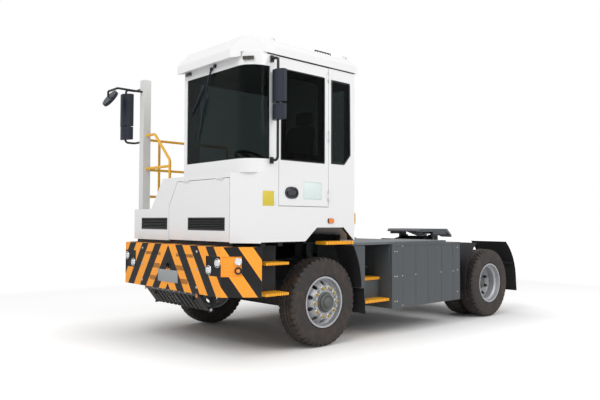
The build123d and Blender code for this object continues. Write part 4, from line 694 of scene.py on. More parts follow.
class Form:
    """Gathers the faces of one piece, then places it on a body."""

    def __init__(self, name: str, *finishes: str) -> None:
        """Starts an empty piece with its finishes, the first one in use.

        Args:
            name: The piece's name.
            *finishes: The names of its finishes.
        """
        self.name = name
        self.finishes = finishes
        self.mesh = bmesh.new()
        self.finish = 0

    def use(self, finish: str) -> "Form":
        """Chooses the finish of the faces that follow."""
        self.finish = self.finishes.index(finish)
        return self

    def _settle(self, faces: Iterable, bevel: float) -> None:
        """Rounds the sharp edges of new faces and gives them the finish in use.

        Args:
            faces: The new faces.
            bevel: The radius of their edges, or 0 to leave them sharp.
        """
        faces = list(faces)
        bmesh.ops.recalc_face_normals(self.mesh, faces=faces)
        for face in faces:
            face.material_index = self.finish
        if bevel > 0.0:
            edges = {edge for face in faces for edge in face.edges if edge.calc_face_angle(0.0) > 0.5}
            bmesh.ops.bevel(
                self.mesh, geom=list(edges), offset=bevel, segments=2, profile=0.5, affect="EDGES",
                clamp_overlap=True, material=-1,
            )

    def block(self, low: Point, high: Point, bevel: float = 0.002) -> "Form":
        """Adds a box between two corners."""
        return self.prism(rectangle(low[:2], high[:2]), Axis.Z, low[2], high[2], bevel)

    def band(self, first: Sequence, second: Sequence) -> list:
        """Joins two closed rows of points with faces."""
        after = (*range(1, len(first)), 0)
        return [self.mesh.faces.new((first[a], first[b], second[b], second[a])) for a, b in enumerate(after)]

    def prism(self, outline: Sequence[Flat], axis: Axis, low: float, high: float, bevel: float = 0.002) -> "Form":
        """Pushes an outline along an axis.

        Args:
            outline: Points in the other two axes, in their order in X, Y, Z.
            axis: The axis that the outline is pushed along.
            low: Where the piece starts.
            high: Where it ends.
            bevel: The radius of its edges.

        Returns:
            The form itself.
        """
        ends = [[self.mesh.verts.new(axis.point(a, b, level)) for a, b in outline] for level in (low, high)]
        faces = [self.mesh.faces.new(end) for end in ends] + self.band(*ends)
        self._settle(faces, bevel)
        return self

    def ring(self, middle: Vector, side: Vector, other: Vector, radius: float, steps: int) -> list:
        """Adds the points of one circle in the plane of two directions."""
        turns = (2 * math.pi * step / steps for step in range(steps))
        return [self.mesh.verts.new(middle + radius * (math.cos(t) * side + math.sin(t) * other)) for t in turns]

    def lathe(
        self, profile: Sequence[Flat], centre: Point, along: Point, steps: int = 48, closed: bool = False
    ) -> "Form":
        """Turns a profile round an axis.

        Args:
            profile: Distance along the axis and radius of each point.
            centre: The axis's start.
            along: The axis's direction.
            steps: Facets round the axis.
            closed: Whether the last point joins the first.

        Returns:
            The form itself.
        """
        axis = Vector(along).normalized()
        side = axis.orthogonal().normalized()
        other = axis.cross(side)
        rings = []
        for distance, radius in profile:
            middle = Vector(centre) + axis * distance
            if radius < 1e-6:
                rings.append([self.mesh.verts.new(middle)])
            else:
                rings.append(self.ring(middle, side, other, radius, steps))
        pairs = list(zip(rings, rings[1:])) + ([(rings[-1], rings[0])] if closed else [])
        faces = []
        for first, second in pairs:
            for step in range(steps):
                after = (step + 1) % steps
                places = ((first, step), (second, step), (second, after), (first, after))
                unique = list(dict.fromkeys(ring[place % len(ring)] for ring, place in places))
                if len(unique) > 2:
                    faces.append(self.mesh.faces.new(unique))
        self._settle(faces, 0.0)
        return self

    def bolt(self, centre: Point, along: Point, radius: float = 0.009, height: float = 0.007) -> "Form":
        """Adds a washer with a six-sided head.

        Args:
            centre: The middle of the face that it sits on.
            along: The way that it points.
            radius: The head's radius.
            height: Washer and head together.

        Returns:
            The form itself.
        """
        washer = ((0, 0), (0, radius * 1.35), (height * 0.25, radius * 1.35), (height * 0.25, 0))
        self.lathe(washer, centre, along, 18)
        rim = height * 0.85
        head = ((height * 0.2, 0), (height * 0.2, radius), (rim, radius), (height, radius * 0.82), (height, 0))
        return self.lathe(head, centre, along, 6)

    def dome(self, centre: Point, along: Point, radius: float = 0.006, height: float = 0.004) -> "Form":
        """Adds a round rivet or screw head."""
        profile = ((0, radius), (height * 0.55, radius * 0.88), (height * 0.9, radius * 0.5), (height, 0))
        return self.lathe(profile, centre, along, 12)

    def tube(self, points: Sequence[Point], radius: float, sides: int = 12) -> "Form":
        """Sweeps a round tube through points, with flat caps.

        Args:
            points: The centre line.
            radius: The tube's radius.
            sides: Facets round it.

        Returns:
            The form itself.
        """
        line = [Vector(point) for point in points]
        ways = [(after - before).normalized() for before, after in zip(line, line[1:])]
        leads = [ways[0]] + [(a + b).normalized() for a, b in zip(ways, ways[1:])] + [ways[-1]]
        side = ways[0].orthogonal().normalized()
        rings = []
        for point, lead in zip(line, leads):
            side = (side - lead * side.dot(lead)).normalized()
            rings.append(self.ring(point, side, lead.cross(side), radius, sides))
        faces = [self.mesh.faces.new(rings[0]), self.mesh.faces.new(rings[-1])]
        for first, second in zip(rings, rings[1:]):
            for step in range(sides):
                after = (step + 1) % sides
                faces.append(self.mesh.faces.new((first[step], second[step], second[after], first[after])))
        self._settle(faces, 0.0)
        return self

    def frame(
        self, outline: Sequence[Flat], width: float, axis: Axis, low: float, high: float, bevel: float = 0.002
    ) -> "Form":
        """Adds a flat border that runs inside an outline.

        Args:
            outline: The outer corners, counter-clockwise or clockwise.
            width: The border's width.
            axis: The axis across the border's flat face.
            low: Where it starts along that axis.
            high: Where it ends.
            bevel: The radius of its edges.

        Returns:
            The form itself.
        """
        inner = inset(outline, width)
        rings = [
            [self.mesh.verts.new(axis.point(a, b, level)) for a, b in ring]
            for ring, level in ((outline, low), (outline, high), (inner, high), (inner, low))
        ]
        faces = [face for first, second in zip(rings, rings[1:] + rings[:1]) for face in self.band(first, second)]
        self._settle(faces, bevel)
        return self

    def place(self, body: str, slot: str, smooth_degrees: float = 40.0) -> bpy.types.Object:
        """Makes the object, dresses it and lets it ride on a body.

        Args:
            body: The body that it moves with.
            slot: The name of a material slot; not used.
            smooth_degrees: Edges sharper than this stay sharp.

        Returns:
            The placed object.
        """
        data = bpy.data.meshes.new(self.name)
        self.mesh.to_mesh(data)
        self.mesh.free()
        for finish in self.finishes:
            data.materials.append(FinishShelf.take(finish))
        data.shade_smooth()
        data.set_sharp_from_angle(angle=math.radians(smooth_degrees))
        piece = bpy.data.objects.new(self.name, data)
        bpy.context.scene.collection.objects.link(piece)
        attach(piece, body)
        LOG.info("%s rides on %s with %d faces", self.name, body, len(data.polygons))
        return piece


def inset(outline: Sequence[Flat], width: float) -> list[Flat]:
    """Moves a closed outline inwards by a width.

    Args:
        outline: The corners in order.
        width: How far each side moves.

    Returns:
        The inner corners in the same order.
    """
    area = sum(a[0] * b[1] - b[0] * a[1] for a, b in zip(outline, list(outline[1:]) + [outline[0]]))
    turn = 1.0 if area > 0 else -1.0
    result = []
    count = len(outline)
    for index in range(count):
        before, here, after = (Vector(outline[(index + step) % count]) for step in (-1, 0, 1))
        first = (here - before).normalized()
        second = (after - here).normalized()
        normal_a = Vector((-first.y, first.x)) * turn
        normal_b = Vector((-second.y, second.x)) * turn
        corner = (normal_a + normal_b).normalized()
        reach = width / max(corner.dot(normal_a), 0.2)
        result.append(tuple(here + corner * reach))
    return result


def rounded(outline: Sequence[Flat], radius: float, steps: int = 5) -> list[Flat]:
    """Rounds the corners of a closed outline.

    Args:
        outline: The corners in order.
        radius: The corners' radius.
        steps: Points on each corner.

    Returns:
        The rounded outline.
    """
    result = []
    count = len(outline)
    for index in range(count):
        before, here, after = (Vector(outline[(index + step) % count]) for step in (-1, 0, 1))
        back = (before - here).normalized()
        ahead = (after - here).normalized()
        half = math.acos(max(-1.0, min(1.0, back.dot(ahead)))) / 2
        trim = min(radius / math.tan(half), (before - here).length * 0.45, (after - here).length * 0.45)
        start = here + back * trim
        end = here + ahead * trim
        for step in range(steps + 1):
            share = step / steps
            result.append(tuple((1 - share) ** 2 * start + 2 * share * (1 - share) * here + share**2 * end))
    return result


def rectangle(low: Flat, high: Flat) -> list[Flat]:
    """Gives the four corners between two opposite ones."""
    return [(low[0], low[1]), (high[0], low[1]), (high[0], high[1]), (low[0], high[1])]


def ellipse(centre: Flat, reach: Flat, steps: int = 40) -> list[Flat]:
    """Gives the points of an ellipse from its centre and its two half widths."""
    turns = (2 * math.pi * step / steps for step in range(steps))
    return [(centre[0] + reach[0] * math.cos(turn), centre[1] + reach[1] * math.sin(turn)) for turn in turns]


def span(side: int, inner: float, outer: float) -> list[float]:
    """Gives the lower and the higher X of a piece on one side of the middle."""
    return sorted((side * inner, side * outer))


@dataclass(frozen=True)
class Layout:
    """Places that several sub-assemblies share, read from the fixed frame."""

    front_axle: float
    rear_axle: float
    tyre_radius: float
    side: float = 1.300

    @classmethod
    def read(cls) -> "Layout":
        """Reads the layout from the left tyres.

        Returns:
            The layout.
        """
        front_low, front_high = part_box("tyre_front_left")
        rear_low, rear_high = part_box("tyre_rear_left")
        return cls(
            front_axle=(front_low[1] + front_high[1]) / 2,
            rear_axle=(rear_low[1] + rear_high[1]) / 2,
            tyre_radius=(front_high[2] - front_low[2]) / 2,
        )

    def y(self, behind: float) -> float:
        """Gives the Y of a place so far behind the front axle."""
        return self.front_axle + behind

    def outline(self, *points: Flat) -> list[Flat]:
        """Gives Y and height of points given by their distance behind the front axle and their height."""
        return [(self.y(behind), height) for behind, height in points]

    def window(self, low: Flat, high: Flat) -> list[Flat]:
        """Gives the corners of an upright rectangle on the side, from two points given as in an outline."""
        return rectangle(*self.outline(low, high))


@dataclass
class FrameDress:
    """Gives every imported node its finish."""

    table: tuple[tuple[str, tuple[str, ...]], ...] = (
        ("cab_white", ("cab_right_wall", "cab_rear_wall", "cab_front", "cab_roof", "rear_door")),
        ("skirt_white", ("cab_left_wall", "right_deck")),
        ("nose_white", ("nose_panel", "hood_flap")),
        ("door_white", ("cab_door",)),
        ("bumper_stripes", ("front_bumper",)),
        ("step_yellow", ("step_treads",)),
        ("rail_yellow", ("handrails",)),
        ("frame_black", ("chassis_frame", "lift_boom", "lift_barrels", "body_mounts", "front_guard")),
        ("step_bay", ("step_frames",)),
        ("box_grey", ("battery_boxes",)),
        ("deck_grey", ("deck_plates",)),
        ("rim_silver", ("rim_front_left", "rim_front_right", "rim_rear_left", "rim_rear_right")),
        ("axle_black", ("front_axle", "rear_axle", "drive_motor", "knuckle_left", "knuckle_right", "track_rod")),
        ("plate_steel", ("fifth_wheel",)),
        ("mirror_post", ("mirror_arms",)),
        ("chrome", ("lift_rods",)),
        ("mirror_black", ("mirror_heads",)),
        ("guard_black", ("mudguards",)),
        ("dash_black", ("dashboard", "steering_wheel")),
        ("trim_grey", ("cab_floor", "seat")),
        ("tinted_glass", ("windshield", "cab_glass", "door_glass", "rear_door_glass")),
        ("lens_mixed", ("lamps",)),
        ("tyre_rubber", ("tyre_front_left", "tyre_front_right", "tyre_rear_left", "tyre_rear_right")),
    )

    def dress(self) -> None:
        """Puts the finishes on the nodes."""
        for finish, nodes in self.table:
            for node in nodes:
                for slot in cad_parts[node].material_slots:
                    slot.material = FinishShelf.take(finish)
            LOG.info("%s on %d nodes", finish, len(nodes))


@dataclass
class Tyre:
    """A worn drive tyre with zigzag grooves, shoulder lugs and a ribbed sidewall."""

    corner: str
    centres: tuple[Point, ...]
    lugs: int = 44
    groove_depth: float = 0.013
    # columns of the crown, counted from the last one of the shoulder
    groove_columns: tuple[int, ...] = (1, 2, 5, 6)
    sipe_columns: tuple[int, ...] = (3, 4)
    sway_columns: int = 8
    # shares of one lug's pitch that a gap between lugs and a sipe take up
    gap_share: float = 0.32
    sipe_share: Flat = (0.5, 0.56)
    sway_reach: float = 0.006

    wall: tuple[Flat, ...] = (
        (0.084, 0.2825), (0.1055, 0.2825), (0.1055, 0.2965), (0.110, 0.301), (0.1165, 0.307), (0.1195, 0.3085),
        (0.1205, 0.314), (0.1235, 0.332), (0.1262, 0.357), (0.1276, 0.384), (0.1278, 0.405), (0.1280, 0.409),
        (0.1280, 0.415), (0.1272, 0.4185), (0.1262, 0.437), (0.1245, 0.455), (0.1248, 0.4585), (0.1232, 0.4640),
    )
    shoulder: tuple[Flat, ...] = ((0.1205, 0.4745), (0.1180, 0.4835), (0.1120, 0.4940), (0.1060, 0.5010))
    crown: tuple[Flat, ...] = (
        (0.0740, 0.5068), (0.0730, 0.5070), (0.0645, 0.5074), (0.0635, 0.5076), (0.0320, 0.5092), (0.0310, 0.5092),
        (0.0225, 0.5096), (0.0215, 0.5096), (0.0, 0.5099),
    )
    phases: tuple[float, ...] = (0.0, 0.05, 0.30, 0.35, 0.50, 0.55, 0.80, 0.85)

    def past_lugs(self, column: int) -> int:
        """Gives how many columns of the half profile lie between one and the shoulder's end."""
        return column - len(self.wall) - len(self.shoulder)

    def depth(self, column: int, is_left: bool, phase: float) -> float:
        """Gives how deep the tread is cut at a column of the half profile and a share of one lug's pitch.

        Args:
            column: The column of the half profile.
            is_left: Whether it is on the half that is shifted by half a pitch.
            phase: The share of one lug's pitch.

        Returns:
            The depth.
        """
        wall = len(self.wall)
        past = self.past_lugs(column)
        shifted = (phase + (0.5 if is_left else 0.0)) % 1.0
        if past in self.groove_columns:
            return self.groove_depth
        if wall <= column and past <= 0 and 0.0 < shifted < self.gap_share:
            return self.groove_depth * (0.55 if column == wall else 1.0)
        if past in self.sipe_columns and self.sipe_share[0] < shifted < self.sipe_share[1]:
            return self.groove_depth * 0.6
        return 0.0

    def sway(self, column: int, phase: float) -> float:
        """Gives the sideways zigzag of the crown's grooves.

        Args:
            column: The column of the half profile.
            phase: The share of one lug's pitch.

        Returns:
            The shift across the tyre.
        """
        if not 0 <= self.past_lugs(column) < self.sway_columns:
            return 0.0
        return (abs(2.0 * phase - 1.0) - 0.5) * self.sway_reach * 2.0

    def build(self) -> bpy.types.Object:
        """Builds the tyre, or the twin pair, and lets it stand for its node.

        Returns:
            The tyre's object.
        """
        half = self.wall + self.shoulder + self.crown
        columns = [(index, False) for index in range(len(half))]
        columns += [(index, True) for index in range(len(half) - 2, -1, -1)]
        form = Form(f"tread_{self.corner}", "tyre_rubber")
        for x, y, z in self.centres:
            rings = []
            for lug in range(self.lugs):
                for phase in self.phases:
                    angle = 2 * math.pi * (lug + phase) / self.lugs
                    ring = []
                    for index, is_left in columns:
                        width, radius = half[index]
                        radius -= self.depth(index, is_left, phase)
                        across = (-width if is_left else width) + self.sway(index, phase)
                        place = (x + across, y + radius * math.cos(angle), z + radius * math.sin(angle))
                        ring.append(form.mesh.verts.new(place))
                    rings.append(ring)
            for first, second in zip(rings, rings[1:] + rings[:1]):
                form.band(first, second)
        bmesh.ops.recalc_face_normals(form.mesh, faces=form.mesh.faces)
        piece = form.place(f"wheel_{self.corner}", "tyre_rubber", 28.0)
        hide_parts(f"tyre_{self.corner}")
        return piece


@dataclass
class WheelHardware:
    """Hub cover, wheel nuts and studs of one wheel."""

    corner: str
    side: int
    axle: Flat
    face: float
    hub_end: float
    nuts: int = 10
    nut_circle: float = 0.1675
    cover_bolts: int = 8
    cover_circle: float = 0.085
    washer: tuple[Flat, ...] = ((0, 0), (0, 0.024), (0.006, 0.024), (0.009, 0.020), (0.009, 0))
    nut: tuple[Flat, ...] = ((0.008, 0), (0.008, 0.0195), (0.028, 0.0195), (0.0315, 0.016), (0.0315, 0))
    stud: tuple[Flat, ...] = ((0.030, 0), (0.030, 0.0095), (0.042, 0.0095), (0.044, 0.007), (0.044, 0))

    def circle(self, across: float, radius: float, count: int, start: float = 0.0) -> Iterable[Point]:
        """Gives places on a circle round the axle.

        Args:
            across: The circle's distance from the vehicle's middle.
            radius: Its radius.
            count: How many places it has.
            start: The first place's share of a step.

        Returns:
            The places in order.
        """
        for step in range(count):
            angle = 2 * math.pi * (step + start) / count
            y, z = self.axle[0] + radius * math.cos(angle), self.axle[1] + radius * math.sin(angle)
            yield self.side * across, y, z

    def build(self) -> bpy.types.Object:
        """Builds the hub cover with its nuts.

        Returns:
            The piece.
        """
        out = (float(self.side), 0.0, 0.0)
        form = Form(f"hub_{self.corner}", "hub_grey", "zinc", "brass")
        long = self.hub_end - self.face
        profile = (
            (-0.004, 0.090), (-0.004, 0.118), (0.010, 0.118), (0.014, 0.112), (0.016, 0.100), (long - 0.012, 0.097),
            (long - 0.004, 0.093), (long, 0.084), (long - 0.004, 0.078), (long - 0.006, 0.066), (long + 0.010, 0.060),
            (long + 0.018, 0.048), (long + 0.020, 0.0),
        )
        form.use("hub_grey").lathe(profile, (self.side * self.face, *self.axle), out, 60)
        for place in self.circle(self.hub_end - 0.005, self.cover_circle, self.cover_bolts, 0.5):
            form.bolt(place, out, 0.006, 0.008)
        for place in self.circle(self.face, self.nut_circle, self.nuts):
            form.use("zinc").lathe(self.washer, place, out, 24)
            form.use("brass").lathe(self.nut, place, out, 6)
            form.lathe(self.stud, place, out, 14)
        return form.place(f"wheel_{self.corner}", "axle_iron")


@dataclass
class DriverSeat:
    """The sprung driver's seat: pedestal, padded cushion, back and headrest."""

    seam: float = 0.006
    seam_place: float = 0.55
    seam_width: float = 0.05
    cuts: int = 14
    squareness: float = 5.0

    def pad(self, name: str, low: Point, high: Point, lean: float, crown: float) -> bpy.types.Object:
        """Makes one crowned cushion.

        Args:
            name: The piece's name.
            low: The lowest corner.
            high: The highest corner.
            lean: How far the top stands behind the bottom.
            crown: How far the faces swell.

        Returns:
            The cushion.
        """
        form = Form(name, "seat_cloth")
        size = [high[axis] - low[axis] for axis in range(3)]
        thin = 1 if size[1] < size[2] else 2
        power = self.squareness
        bmesh.ops.create_cube(form.mesh, size=1.0)
        bmesh.ops.subdivide_edges(form.mesh, edges=form.mesh.edges[:], cuts=self.cuts, use_grid_fill=True)
        for vert in form.mesh.verts:
            u, v, w = (2.0 * part for part in vert.co)
            norm = (abs(u) ** power + abs(v) ** power + abs(w) ** power) ** (1.0 / power)
            largest = max(abs(u), abs(v), abs(w))
            u, v, w = (part * largest / norm for part in (u, v, w))
            swell = 1.0 + crown * (1.0 - u * u) * (1.0 - (v if size[1] > size[2] else w) ** 2)
            channel = self.seam * math.exp(-((abs(u) - self.seam_place) / self.seam_width) ** 2)
            place = [u, v, w]
            place[thin] *= swell * (1.0 - channel / (size[thin] / 2))
            x, y, z = (low[axis] + size[axis] * (place[axis] + 1) / 2 for axis in range(3))
            vert.co = (x, y + lean * (place[2] + 1) / 2, z)
        piece = form.place("chassis", "seat_fabric", 80.0)
        return piece

    def build(self) -> None:
        """Builds the seat inside the space of its node."""
        low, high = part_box("seat")
        middle = (low[0] + high[0]) / 2
        front = low[1]
        floor = low[2]

        def box(half: float, start: Flat, end: Flat) -> tuple[Point, Point]:
            """Gives the corners of a box round the seat's middle, from its half width and two pairs of Y and Z.

            Args:
                half: Half its width.
                start: How far its front and its foot are from the seat's front and foot.
                end: The same of its back and its top.

            Returns:
                The two corners.
            """
            return (
                (middle - half, front + start[0], floor + start[1]), (middle + half, front + end[0], floor + end[1])
            )

        stand = Form("seat_stand", "dash_black", "trim_grey")
        stand.block(*box(0.17, (0.07, 0.0), (0.42, 0.06)), 0.008)
        for level in range(5):
            grow = 0.012 * (level % 2)
            rise = 0.042 * level
            stand.block(*box(0.14 + grow, (0.10 - grow, 0.06 + rise), (0.38 + grow, 0.10 + rise)), 0.014)
        stand.use("trim_grey").block(*box(0.20, (0.03, 0.27), (0.48, 0.305)), 0.01)
        stand.use("dash_black")
        for side in (-1, 1):
            arm = middle + side * 0.235
            stand.block((arm - 0.024, front + 0.10, floor + 0.56), (arm + 0.014, front + 0.47, floor + 0.60), 0.012)
        pedestal = stand.place("chassis", "dash_plastic")
        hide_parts("seat")
        width = (high[0] - low[0]) / 2
        self.pad("seat_cushion", *box(width - 0.01, (0.0, 0.305), (0.48, 0.425)), 0.0, 0.10)
        self.pad("seat_back", *box(width - 0.02, (0.435, 0.40), (0.535, 1.01)), 0.085, 0.12)
        self.pad("seat_headrest", *box(0.13, (0.575, 1.02), (0.645, 1.185)), 0.005, 0.10)


@dataclass
class CabSeals:
    """Rubber gaskets and black borders round the cab's windows and doors."""

    layout: Layout
    # distance behind the front axle and height of each corner
    quarter: tuple[Flat, ...] = ((0.005, 3.062), (0.005, 2.092), (0.225, 2.092), (0.330, 2.210), (0.320, 3.062))

    def build(self) -> None:
        """Builds the gaskets of the cab's fixed side pane and of the door."""
        side = self.layout.side
        form = Form("cab_gaskets", "seal_rubber")
        quarter = rounded(self.layout.outline(*self.quarter), 0.035)
        form.frame(quarter, 0.022, Axis.X, side - 0.012, side + 0.003, 0.0015)
        form.place("chassis", "guard_black")
        door = Form("door_gasket", "seal_rubber")
        pane = rounded(self.layout.window((-0.754, 2.085), (-0.095, 3.070)), 0.025)
        door.frame(pane, 0.014, Axis.X, side - 0.012, side + 0.002, 0.0015)
        inner = self.layout.window((-0.742, 2.097), (-0.107, 3.058))
        door.frame(inner, 0.075, Axis.X, side - 0.0245, side - 0.0208, 0.0)
        door.place("cab_door", "guard_black")


@dataclass
class BumperTrim:
    """Slots, bolts, blank plate, tow ring and lamp bezels on the bumper, and the guard's top angle below it."""

    face: float = -2.716
    fold: float = 1.045
    facet_way: Flat = (0.6068, 0.7948)
    slot_rows: tuple[tuple[float, float, float, float], ...] = (
        # first x, last x, lowest z, highest z
        (-0.520, -0.170, 1.036, 1.079), (0.175, 0.526, 1.036, 1.079), (-0.450, -0.180, 0.885, 0.940),
        (0.159, 0.400, 0.885, 0.940), (-0.420, -0.273, 0.740, 0.795), (0.249, 0.419, 0.740, 0.795),
    )
    slot_pitch: float = 0.009
    slot_height: float = 0.0046
    face_lamps: tuple[Flat, ...] = ((0.989, 1.000), (0.831, 0.921))
    # distance along the facet, height, finish and bore radius of the bezel
    facet_lamps: tuple[tuple[float, float, str, float], ...] = (
        (0.178, 1.018, "chrome", 0.0285), (0.178, 0.924, "guard_black", 0.0205),
    )
    angle_bolts: tuple[float, ...] = (-0.39, -0.27, -0.15, -0.03, 0.09, 0.21, 0.33, 0.45)
    plate: tuple[Flat, Flat] = ((-0.220, 0.735), (0.220, 0.875))
    forward: Point = (0.0, -1.0, 0.0)

    def sheet(self, form: Form, low: Flat, high: Flat, depth: Flat, bevel: float) -> None:
        """Adds a thin plate across the vehicle, from two corners in X and Z and two places in Y."""
        form.block((low[0], depth[0], low[1]), (high[0], depth[1], high[1]), bevel)

    def slots(self) -> None:
        """Lays dark strips on the stripes as the pressed cooling slots, painted shade inside the slots."""
        form = Form("bumper_slots", "seal_rubber")
        depth = (self.face - 0.0008, self.face + 0.001)
        # each dark strip is painted shade inside one slot
        for first, last, low, high in self.slot_rows:
            for step in range(int((high - low) / self.slot_pitch)):
                z = low + self.slot_pitch * step
                self.sheet(form, (first, z), (last, z + self.slot_height), depth, 0.0)
        form.place("chassis", "guard_black")

    def fittings(self) -> None:
        """Adds the panel bolts, the blank plate and the tow hole's ring."""
        form = Form("bumper_fittings", "zinc", "plate_blank", "guard_black")
        for x in (-0.60, 0.60):
            for z in (1.105, 0.914, 0.722):
                form.use("zinc").bolt((x, self.face, z), self.forward, 0.011, 0.009)
        self.sheet(form.use("plate_blank"), *self.plate, (self.face - 0.003, self.face - 0.0002), 0.001)
        form.frame(rectangle(*self.plate), 0.005, Axis.Y, self.face - 0.0045, self.face - 0.001, 0.0008)
        for x in (-0.165, 0.165):
            form.use("zinc").dome((x, self.face - 0.003, 0.860), self.forward, 0.006, 0.003)
        ring = ((-0.002, 0.0315), (0.006, 0.0315), (0.007, 0.034), (0.006, 0.042), (0.0, 0.044), (-0.002, 0.044))
        form.use("guard_black").lathe(ring, (0.0, self.face, 0.928), self.forward, 36, True)
        form.place("chassis", "guard_black")

    def lamps(self) -> None:
        """Sets a bezel and a domed lens over each lamp on the face, and a bezel round each lamp on the facets."""
        form = Form("bumper_lamps", "chrome", "guard_black", "lens_clear")
        ring = ((0.0, 0.0), (0.0, 0.050), (0.010, 0.050), (0.013, 0.047), (0.0115, 0.044), (0.009, 0.043), (0.009, 0.0))
        shade = ((0.009, 0.0435), (0.0105, 0.041), (0.0100, 0.035), (0.0090, 0.030))
        lens = ((0.009, 0.035), (0.0130, 0.031), (0.0152, 0.021), (0.0162, 0.010), (0.0165, 0.0))
        for side in (-1, 1):
            for x, z in self.face_lamps:
                for finish, profile in (("chrome", ring), ("guard_black", shade), ("lens_clear", lens)):
                    form.use(finish).lathe(profile, (side * x, self.face + 0.004, z), self.forward, 40)
            for along, z, bezel, bore in self.facet_lamps:
                out = (side * self.facet_way[1], -self.facet_way[0], 0.0)
                x = self.fold + self.facet_way[0] * along
                y = self.face + self.facet_way[1] * along
                profile = ((-0.004, bore), (-0.004, 0.038), (0.008, 0.038), (0.0115, 0.034), (0.0095, bore))
                form.use(bezel).lathe(profile, (side * x, y, z), out, 36, True)
        form.place("chassis", "lamp_clear")

    def guard(self) -> None:
        """Adds the guard's top angle with its bolts, the two tabs and the strut bolts."""
        form = Form("guard_angle", "box_grey", "zinc", "lens_amber")
        front = -2.6885
        self.sheet(form, (-0.582, 0.622), (0.582, 0.6525), (front, -2.6862), 0.0008)
        self.sheet(form, (-0.582, 0.6502), (0.582, 0.6525), (front, -2.645), 0.0008)
        for x in self.angle_bolts:
            form.use("zinc").dome((x, front, 0.640), self.forward, 0.008, 0.005)
        for side in (-1, 1):
            inner, outer = span(side, 0.548, 0.578)
            self.sheet(form.use("lens_amber"), (inner, 0.606), (outer, 0.658), (-2.694, front), 0.0015)
            form.use("zinc").bolt((side * 0.592, -2.523, 0.462), (float(side), 0.0, 0.0), 0.012, 0.009)
        form.place("chassis", "guard_black")

    def gap_shade_and_mesh(self) -> None:
        """Fills the gap over the bumper with a dark sheet as painted shade, and backs both grilles with dark mesh."""
        depth = (-2.5768, -2.5750)
        form = Form("gap_shade_and_grille_mesh", "guard_black")
        # dark sheet in the gap over the bumper: painted shade in the gap
        self.sheet(form, (-1.030, 1.140), (1.030, 1.2045), (-2.560, -2.556), 0.0005)
        self.sheet(form, (-0.848, 1.332), (-0.222, 1.471), depth, 0.0)
        form.place("chassis", "guard_black")
        flap = Form("flap_mesh", "guard_black")
        self.sheet(flap, (0.232, 1.332), (0.948, 1.471), depth, 0.0)
        flap.place("hood_flap", "guard_black")

    def build(self) -> None:
        """Builds all of the bumper's trim."""
        for part in (self.gap_shade_and_mesh, self.slots, self.fittings, self.lamps, self.guard):
            part()


